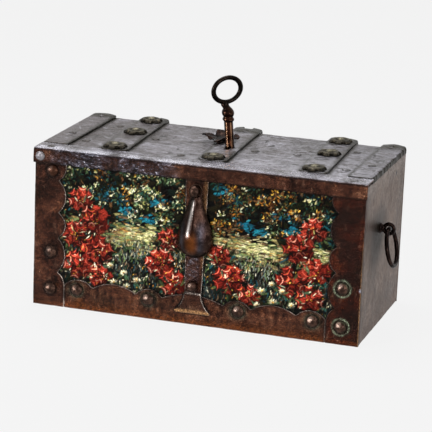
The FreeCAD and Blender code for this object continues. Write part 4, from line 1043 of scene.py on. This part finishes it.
treeSettings = {
    "gaps": [(-93, 124), (-73, 108), (-50, 102), (-38, 121), (28, 139), (51, 107), (66, 104), (84, 121),
             (99, 108)],
    "gap": {"count": 22, "spread": (4.5, 2.3), "clear": 7.5, "slim": 0.8},
    "sky": dict(lengths=(4, 8), widths=(1.8, 3.2), angles=(-0.5, 0.7),
                names=["sky", "sky", "sky", "leafBlue"]),
    "trunk": {"count": 7, "first": -126, "apart": 42, "stray": 8, "lean": 0.14, "steps": 10, "leanStep": 7,
              "foot": 84, "rise": 7.5, "length": 11, "width": 4.2, "taper": 0.25,
              "lightAside": 1.4, "light": (7, 0.9), "lightCover": 0.6},
    "bush": {"perMm": 0.62, "heights": (96, 153), "reach": (6.5, 10), "shadeDrop": 1, "middleReach": 0.95,
             "lightAside": 0.2, "lightUp": 0.25, "lightReach": 0.75,
             "middleCurl": [0.0, 1.0], "lightCurl": [0.0, 0.6]},
    "leaves": {"shade": dict(count=26, length=5.2, width=2.6),
               "middle": dict(count=20, length=4.0, width=1.5),
               "light": dict(count=11, length=3.4, width=1.5, light=0.7)},
    "twigs": dict(count=460, zs=(96, 153), names=["night", "night", "bark"], lengths=(3, 7),
                  widths=(1.0, 2.0), angles=(0, halfTurn), point=1.2),
    "moods": {      # shade, middle and light of one bush
        "teal": (["night", "leafBlue", "leafDark"], ["leafBlue", "leafMid"],
                 ["leafMid", "leafBlue", "leafLight"]),
        "olive": (["night", "leafDark"], ["leafMid", "leafDark"], ["leafLight", "leafLight", "leafPale"]),
        "pale": (["night", "leafDark", "leafMid"], ["leafMid", "leafLight"],
                 ["leafPale", "leafPale", "leafLight"]),
        "brown": (["night", "bark"], ["bark", "ochre", "leafMid"], ["ochre", "leafLight", "gold"]),
        "dark": (["night", "night", "leafDark"], ["leafDark", "leafBlue"], ["leafMid", "leafBlue"]),
    },
    "order": {      # where along the front each mood is common
        (-145, -104): ["olive", "olive", "pale", "dark"],
        (-104, -66): ["dark", "teal", "brown", "olive"],
        (-66, -14): ["olive", "pale", "pale", "brown"],
        (14, 52): ["teal", "brown", "brown", "olive"],
        (52, 96): ["brown", "brown", "olive", "dark"],
        (96, 145): ["brown", "olive", "dark", "teal"],
    },
}


def paintTrees(c, s):
    r = c.rng
    gap, trunk, bush, leaves = s["gap"], s["trunk"], s["bush"], s["leaves"]
    for x, z in s["gaps"]:      # sky between the trees
        for n in range(gap["count"]):
            c.dab(x + r.gauss(0, gap["spread"][0]), z + r.gauss(0, gap["spread"][1]), **s["sky"])
    for n in range(trunk["count"]):
        x = trunk["first"] + n * trunk["apart"] + r.uniform(-trunk["stray"], trunk["stray"])
        lean = r.uniform(-trunk["lean"], trunk["lean"])
        upright = quarterTurn - lean
        for step in range(trunk["steps"]):
            px = x + lean * step * trunk["leanStep"]
            pz = trunk["foot"] + step * trunk["rise"]
            width = trunk["width"] - trunk["taper"] * step
            c.stroke(px, pz, trunk["length"], width, upright, c.pick("night", "bark"))
            c.stroke(px - trunk["lightAside"], pz, *trunk["light"], upright, c.pick("bark", "ochre"),
                     cover=trunk["lightCover"])
    for (low, high), moods in s["order"].items():
        for n in range(int((high - low) * bush["perMm"])):
            x, z = r.uniform(low, high), r.uniform(*bush["heights"])
            if min(math.hypot((x - gx) * gap["slim"], z - gz) for gx, gz in s["gaps"]) < gap["clear"]:
                continue
            shade, middle, light = s["moods"][r.choice(moods)]
            reach = r.uniform(*bush["reach"])
            c.tuft(x=x, z=z - bush["shadeDrop"], reach=reach, names=shade, **leaves["shade"])
            c.tuft(x=x, z=z, reach=reach * bush["middleReach"], names=middle,
                   curl=r.choice(bush["middleCurl"]), **leaves["middle"])
            c.tuft(x=x - bush["lightAside"] * reach, z=z + bush["lightUp"] * reach,
                   reach=reach * bush["lightReach"], names=light, curl=r.choice(bush["lightCurl"]),
                   **leaves["light"])
    c.fill(**s["twigs"])


meadowSettings = {
    "far": dict(count=1100, zs=(82, 7), names=["earth", "meadow", "leafMid", "earth", "meadowGreen"],
                lengths=(5, 12), widths=(1.8, 3.4), angles=(-0.25, 0.25), gathered=True, cover=0.6),
    "strip": {"count": 1500, "height": 86, "sway": 2.5, "swayPace": 0.05, "spread": 4, "glowPace": 0.11,
              "glowStart": 0.6, "lit": ["meadowPale", "meadowPale", "meadow"],
              "dull": ["meadow", "earth", "ochre", "meadowGreen"]},
    "stripDab": dict(lengths=(2.5, 6), widths=(0.9, 1.7), angles=(-0.3, 0.35), cover=0.62),
    "near": dict(count=900, zs=(73, 4.5), names=["meadowGreen", "meadow", "leafMid", "grassLight", "grass"],
                 lengths=(3, 7), widths=(0.9, 1.6), angles=(1.0, 2.2), gathered=True, bend=0.8, cover=0.65,
                 point=1.1),
    "blades": {"count": 2800, "low": 12, "height": 58, "sunlit": 56, "stray": 0.12,
               "high": ["grassMid", "meadowGreen", "grassLight", "grass"],
               "deep": ["grass", "grassMid", "grass", "leafBlue", "earth"]},
    "bladeDab": dict(lengths=(4, 9), widths=(0.8, 1.5), angles=(1.05, 2.1), bend=1.0, point=1.3),
    "tips": dict(count=420, zs=(18, 68), lengths=(2.5, 6), widths=(0.8, 1.1), angles=(1.1, 2.0), point=1.3,
                 names=["grassLight", "grassLight", "cream", "meadowGreen", "earth", "ochre"]),
}


def paintMeadow(c, s):
    r = c.rng
    strip, blades = s["strip"], s["blades"]
    c.fill(**s["far"])
    for n in range(strip["count"]):     # the lit strip, brighter in some stretches than in others
        x = r.uniform(*c.settings["span"])
        z = strip["height"] + strip["sway"] * math.sin(x * strip["swayPace"]) + r.gauss(0, strip["spread"])
        glow = 0.5 + 0.5 * math.sin(x * strip["glowPace"] + strip["glowStart"])
        c.dab(x, z, names=strip["lit"] if r.random() < glow else strip["dull"], **s["stripDab"])
    c.fill(**s["near"])
    for n in range(blades["count"]):
        z = blades["low"] + blades["height"] * r.random()
        names = blades["high"] if z > blades["sunlit"] or r.random() < blades["stray"] else blades["deep"]
        c.dab(r.uniform(*c.settings["span"]), z, names=names, **s["bladeDab"])
    c.fill(**s["tips"])


bloomSettings = {
    "places": [     # place and size of each bloom, from the back of the bushes to the front
        (-121, 114, 12), (-106, 95, 15), (-126, 78, 13), (-103, 63, 16), (-122, 47, 15), (-97, 36, 12),
        (-27, 84, 11), (-36, 59, 14), (-21, 40, 13),
        (25, 74, 11), (37, 51, 15), (57, 38, 11),
        (120, 111, 12), (105, 91, 15), (125, 71, 13), (101, 57, 16), (119, 42, 13),
    ],
    "leavesBehind": [       # count, drop, reach as a share of the bloom, colours, length, width, light
        (40, 3, 1.3, ["leafDark", "night", "night"], 12, 4.6, 0.0),
        (22, 2, 1.35, ["leafMid", "leafDark", "leafBlue"], 9, 2.6, 0.0),
        (12, 1, 1.4, ["leafLight", "leafMid"], 7, 1.1, 0.6),
    ],
    "leavesBefore": [       # count, drop and reach as shares of the bloom, colours, length, width
        (6, 0.6, 1.2, ["leafDark", "leafMid", "night"], 8, 2.6),
        (3, 0.4, 1.2, ["leafLight", "leafPale"], 5, 1.2),
    ],
    "heart": (34, 0.8, ["redDeep", "redDeep", "night"], 0.7, 0.5),
    "rings": [(0.70, 7, 0.70), (0.42, 5, 0.58), (0.15, 3, 0.46)],       # reach, petals and their size
    "flat": 0.9, "stray": 0.15, "vary": (0.9, 1.15), "goldLit": 0.7, "goldOften": 0.3,
    "seeds": 9, "seedSpread": 0.14, "seed": (1.6, 1.0), "seedNames": ["gold", "night", "ochre"],
}
# strokes of one petal as shares of its size, with fine a width in mm, and light the darkest tone and its gain
petalStrokes = [
    dict(length=1.15, broad=1.3, names=["redDeep", "night"], point=0.8),
    dict(out=0.1, length=0.9, broad=0.95, names=["red"], light=(0.45, 0.9), point=0.8),
    *[dict(aside=k, length=0.75, fine=0.9, turn=k * 0.8, names=["redDeep", "red", "redLight"],
           light=(0.6, 0.5), cover=0.6, point=1.2) for k in (-0.28, 0.0, 0.28)],
    dict(out=0.42, length=1.05, fine=1.5, turn=quarterTurn, names=["redLight"], light=(0.3, 0.9), bend=-2.4,
         point=1.0),
]
goldStroke = dict(out=0.4, length=0.45, fine=0.8, turn=quarterTurn, names=["cream", "gold", "gold"],
                  bend=-1.6, cover=0.75)


def strokePetal(c, x, z, big, way, length, names, out=0.0, aside=0.0, broad=0.0, fine=0.0, turn=0.0,
                light=(1.0, 0.0), **more):
    ux, uz = big * math.cos(way), big * math.sin(way)
    tone = light[0] + light[1] * (0.5 + 0.5 * c.lit(way))
    c.stroke(x + ux * out - uz * aside, z + uz * out + ux * aside, big * length, big * broad + fine,
             way + turn, c.pick(*names) * tone, **more)


def paintBloom(c, s, x, z, size):
    r = c.rng
    count, reach, names, length, width = s["heart"]
    c.tuft(count, x, z, size * reach, names, size * length, size * width)
    for far, count, share in s["rings"]:
        start = r.uniform(0, fullTurn)
        for n in range(count):
            way = start + n * 2 * math.pi / count + r.gauss(0, s["stray"])
            big = size * share * r.uniform(*s["vary"])
            px = x + math.cos(way) * size * far
            pz = z + math.sin(way) * size * far * s["flat"]
            for stroke in petalStrokes:
                strokePetal(c, px, pz, big, way, **stroke)
            if 0.5 + 0.5 * c.lit(way) > s["goldLit"] and r.random() < s["goldOften"]:
                strokePetal(c, px, pz, big, way, **goldStroke)
    spread = size * s["seedSpread"]
    for n in range(s["seeds"]):
        c.stroke(x + r.gauss(0, spread), z + r.gauss(0, spread), *s["seed"], r.uniform(0, halfTurn),
                 c.pick(*s["seedNames"]))


def paintFlowers(c, s):
    for x, z, size in s["places"]:
        for count, drop, reach, names, length, width, light in s["leavesBehind"]:
            c.tuft(count, x, z - drop, size * reach, names, length, width, light)
    for x, z, size in s["places"]:
        paintBloom(c, s, x, z, size)
    for x, z, size in s["places"]:
        for count, drop, reach, names, length, width in s["leavesBefore"]:
            c.tuft(count, x, z - size * drop, size * reach, names, length, width)


daisySettings = {
    "places": [(-84, 33, 7), (-74, 44, 6), (-70, 30, 7), (-60, 38, 6), (-88, 50, 6), (-49, 27, 6),
               (-62, 24, 6), (70, 44, 7), (82, 34, 7), (76, 27, 6), (91, 46, 6), (66, 29, 6), (88, 25, 7),
               (101, 33, 6), (80, 52, 6)],
    "leaves": dict(count=14, names=["leafDark", "night", "leafMid"], length=6, width=2.2), "leafDrop": 2,
    "petals": 11, "stray": 0.12, "reach": (0.36, 0.30), "flat": 0.85, "length": 0.5, "width": 1.5,
    "light": (0.55, 0.45), "names": ["cream", "leafPale"], "point": 0.9,
    "seeds": 5, "seedSpread": (0.5, 0.4), "seed": (1.5, 1.1), "seedNames": ["gold", "gold", "ochre"],
}


def paintDaisies(c, s):
    r = c.rng
    for x, z, size in s["places"]:
        c.tuft(x=x, z=z - s["leafDrop"], reach=size, **s["leaves"])
        for n in range(s["petals"]):
            way = n * 2 * math.pi / s["petals"] + r.gauss(0, s["stray"])
            ux, uz = math.cos(way), math.sin(way)
            tone = s["light"][0] + s["light"][1] * c.lit(way)
            c.stroke(x + ux * size * s["reach"][0], z + uz * size * s["reach"][1], size * s["length"],
                     s["width"], math.atan2(uz * s["flat"], ux), c.pick(*s["names"]) * tone, point=s["point"])
        for n in range(s["seeds"]):
            c.stroke(x + r.gauss(0, s["seedSpread"][0]), z + r.gauss(0, s["seedSpread"][1]), *s["seed"],
                     r.uniform(0, halfTurn), c.pick(*s["seedNames"]))


sparkleSettings = [
    dict(count=90, zs=(98, 152), names=["leafPale", "leafLight", "ochre"], lengths=(1.4, 3.0),
         widths=(0.9, 1.4), angles=(0, halfTurn), point=1.2),
    dict(count=420, zs=(20, 92), names=["cream", "gold", "grassLight", "ochre", "earth"], lengths=(1.4, 3.2),
         widths=(0.8, 1.3), angles=(0, halfTurn), point=1.2),
]
varnishSettings = {
    "middle": 0.055, "power": 0.28, "limits": (0.5, 1.7), "cleaned": (82, 54, 1.0, 1.3),
    "over": ["left_corner_strap", "right_corner_strap", "base_strap", "centre_strap", "drop_cover",
             "lid_front_band"],
    # painted shade with some dirt where the straps, drop and band lie over the paint
    "dirt": [(2, 0.92), (9, 0.45)], "dirtGain": 1.6,       # reach in cells and strength
}


def varnish(c, s):
    # darks sink and lights stand out, the lower half is brighter, and painted shade with dirt lies along the
    # straps
    light = c.colour.mean(axis=2, keepdims=True)
    c.colour *= np.clip((light / s["middle"]) ** s["power"], *s["limits"])
    c.colour *= fade(c.zs, *s["cleaned"])[:, None, None]
    rows, columns = cells(c.zs)[:, None], cells(c.xs)[None, :]
    for reach, strength in s["dirt"]:
        dirt = np.clip(s["dirtGain"] * softCover(s["over"], reach)[rows, columns], 0, 1)
        c.colour *= (1 - strength * dirt)[..., None]


def paintCanvas(s):
    c = Canvas(s)
    for layer in groundSettings:
        c.fill(**layer)
    paintTrees(c, treeSettings)
    paintMeadow(c, meadowSettings)
    paintFlowers(c, bloomSettings)
    paintDaisies(c, daisySettings)
    for layer in sparkleSettings:
        c.fill(**layer)
    varnish(c, varnishSettings)
    return c


def hangCanvas(c, s):
    bpy.ops.object.select_all(action="DESELECT")
    bpy.ops.mesh.primitive_grid_add(x_subdivisions=c.columns, y_subdivisions=c.rows, size=2)
    sheet = bpy.context.object
    sheet.name = "painted_front"
    u, v, flat = (readPoints(sheet, "co").T + 1) / 2
    column = np.rint(u * c.columns).astype(int)
    row = np.rint(v * c.rows).astype(int)
    x = s["left"] + u * (s["right"] - s["left"])
    z = s["low"] + v * (s["high"] - s["low"])
    setPoints(sheet, np.stack([x, s["back"] - s["relief"] * c.body[row, column], z], axis=1))
    layer = sheet.data.attributes.new("paint", "FLOAT_COLOR", "POINT")
    rgba = np.ones((len(x), 4))
    rgba[:, :3] = c.colour[row, column]
    layer.data.foreach_set("color", rgba.astype(np.float32).ravel())
    bpy.ops.object.shade_smooth()
    dress(sheet, oilPaint)
    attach(sheet, "case")


hangCanvas(paintCanvas(canvasSettings), canvasSettings)
print("front painted")
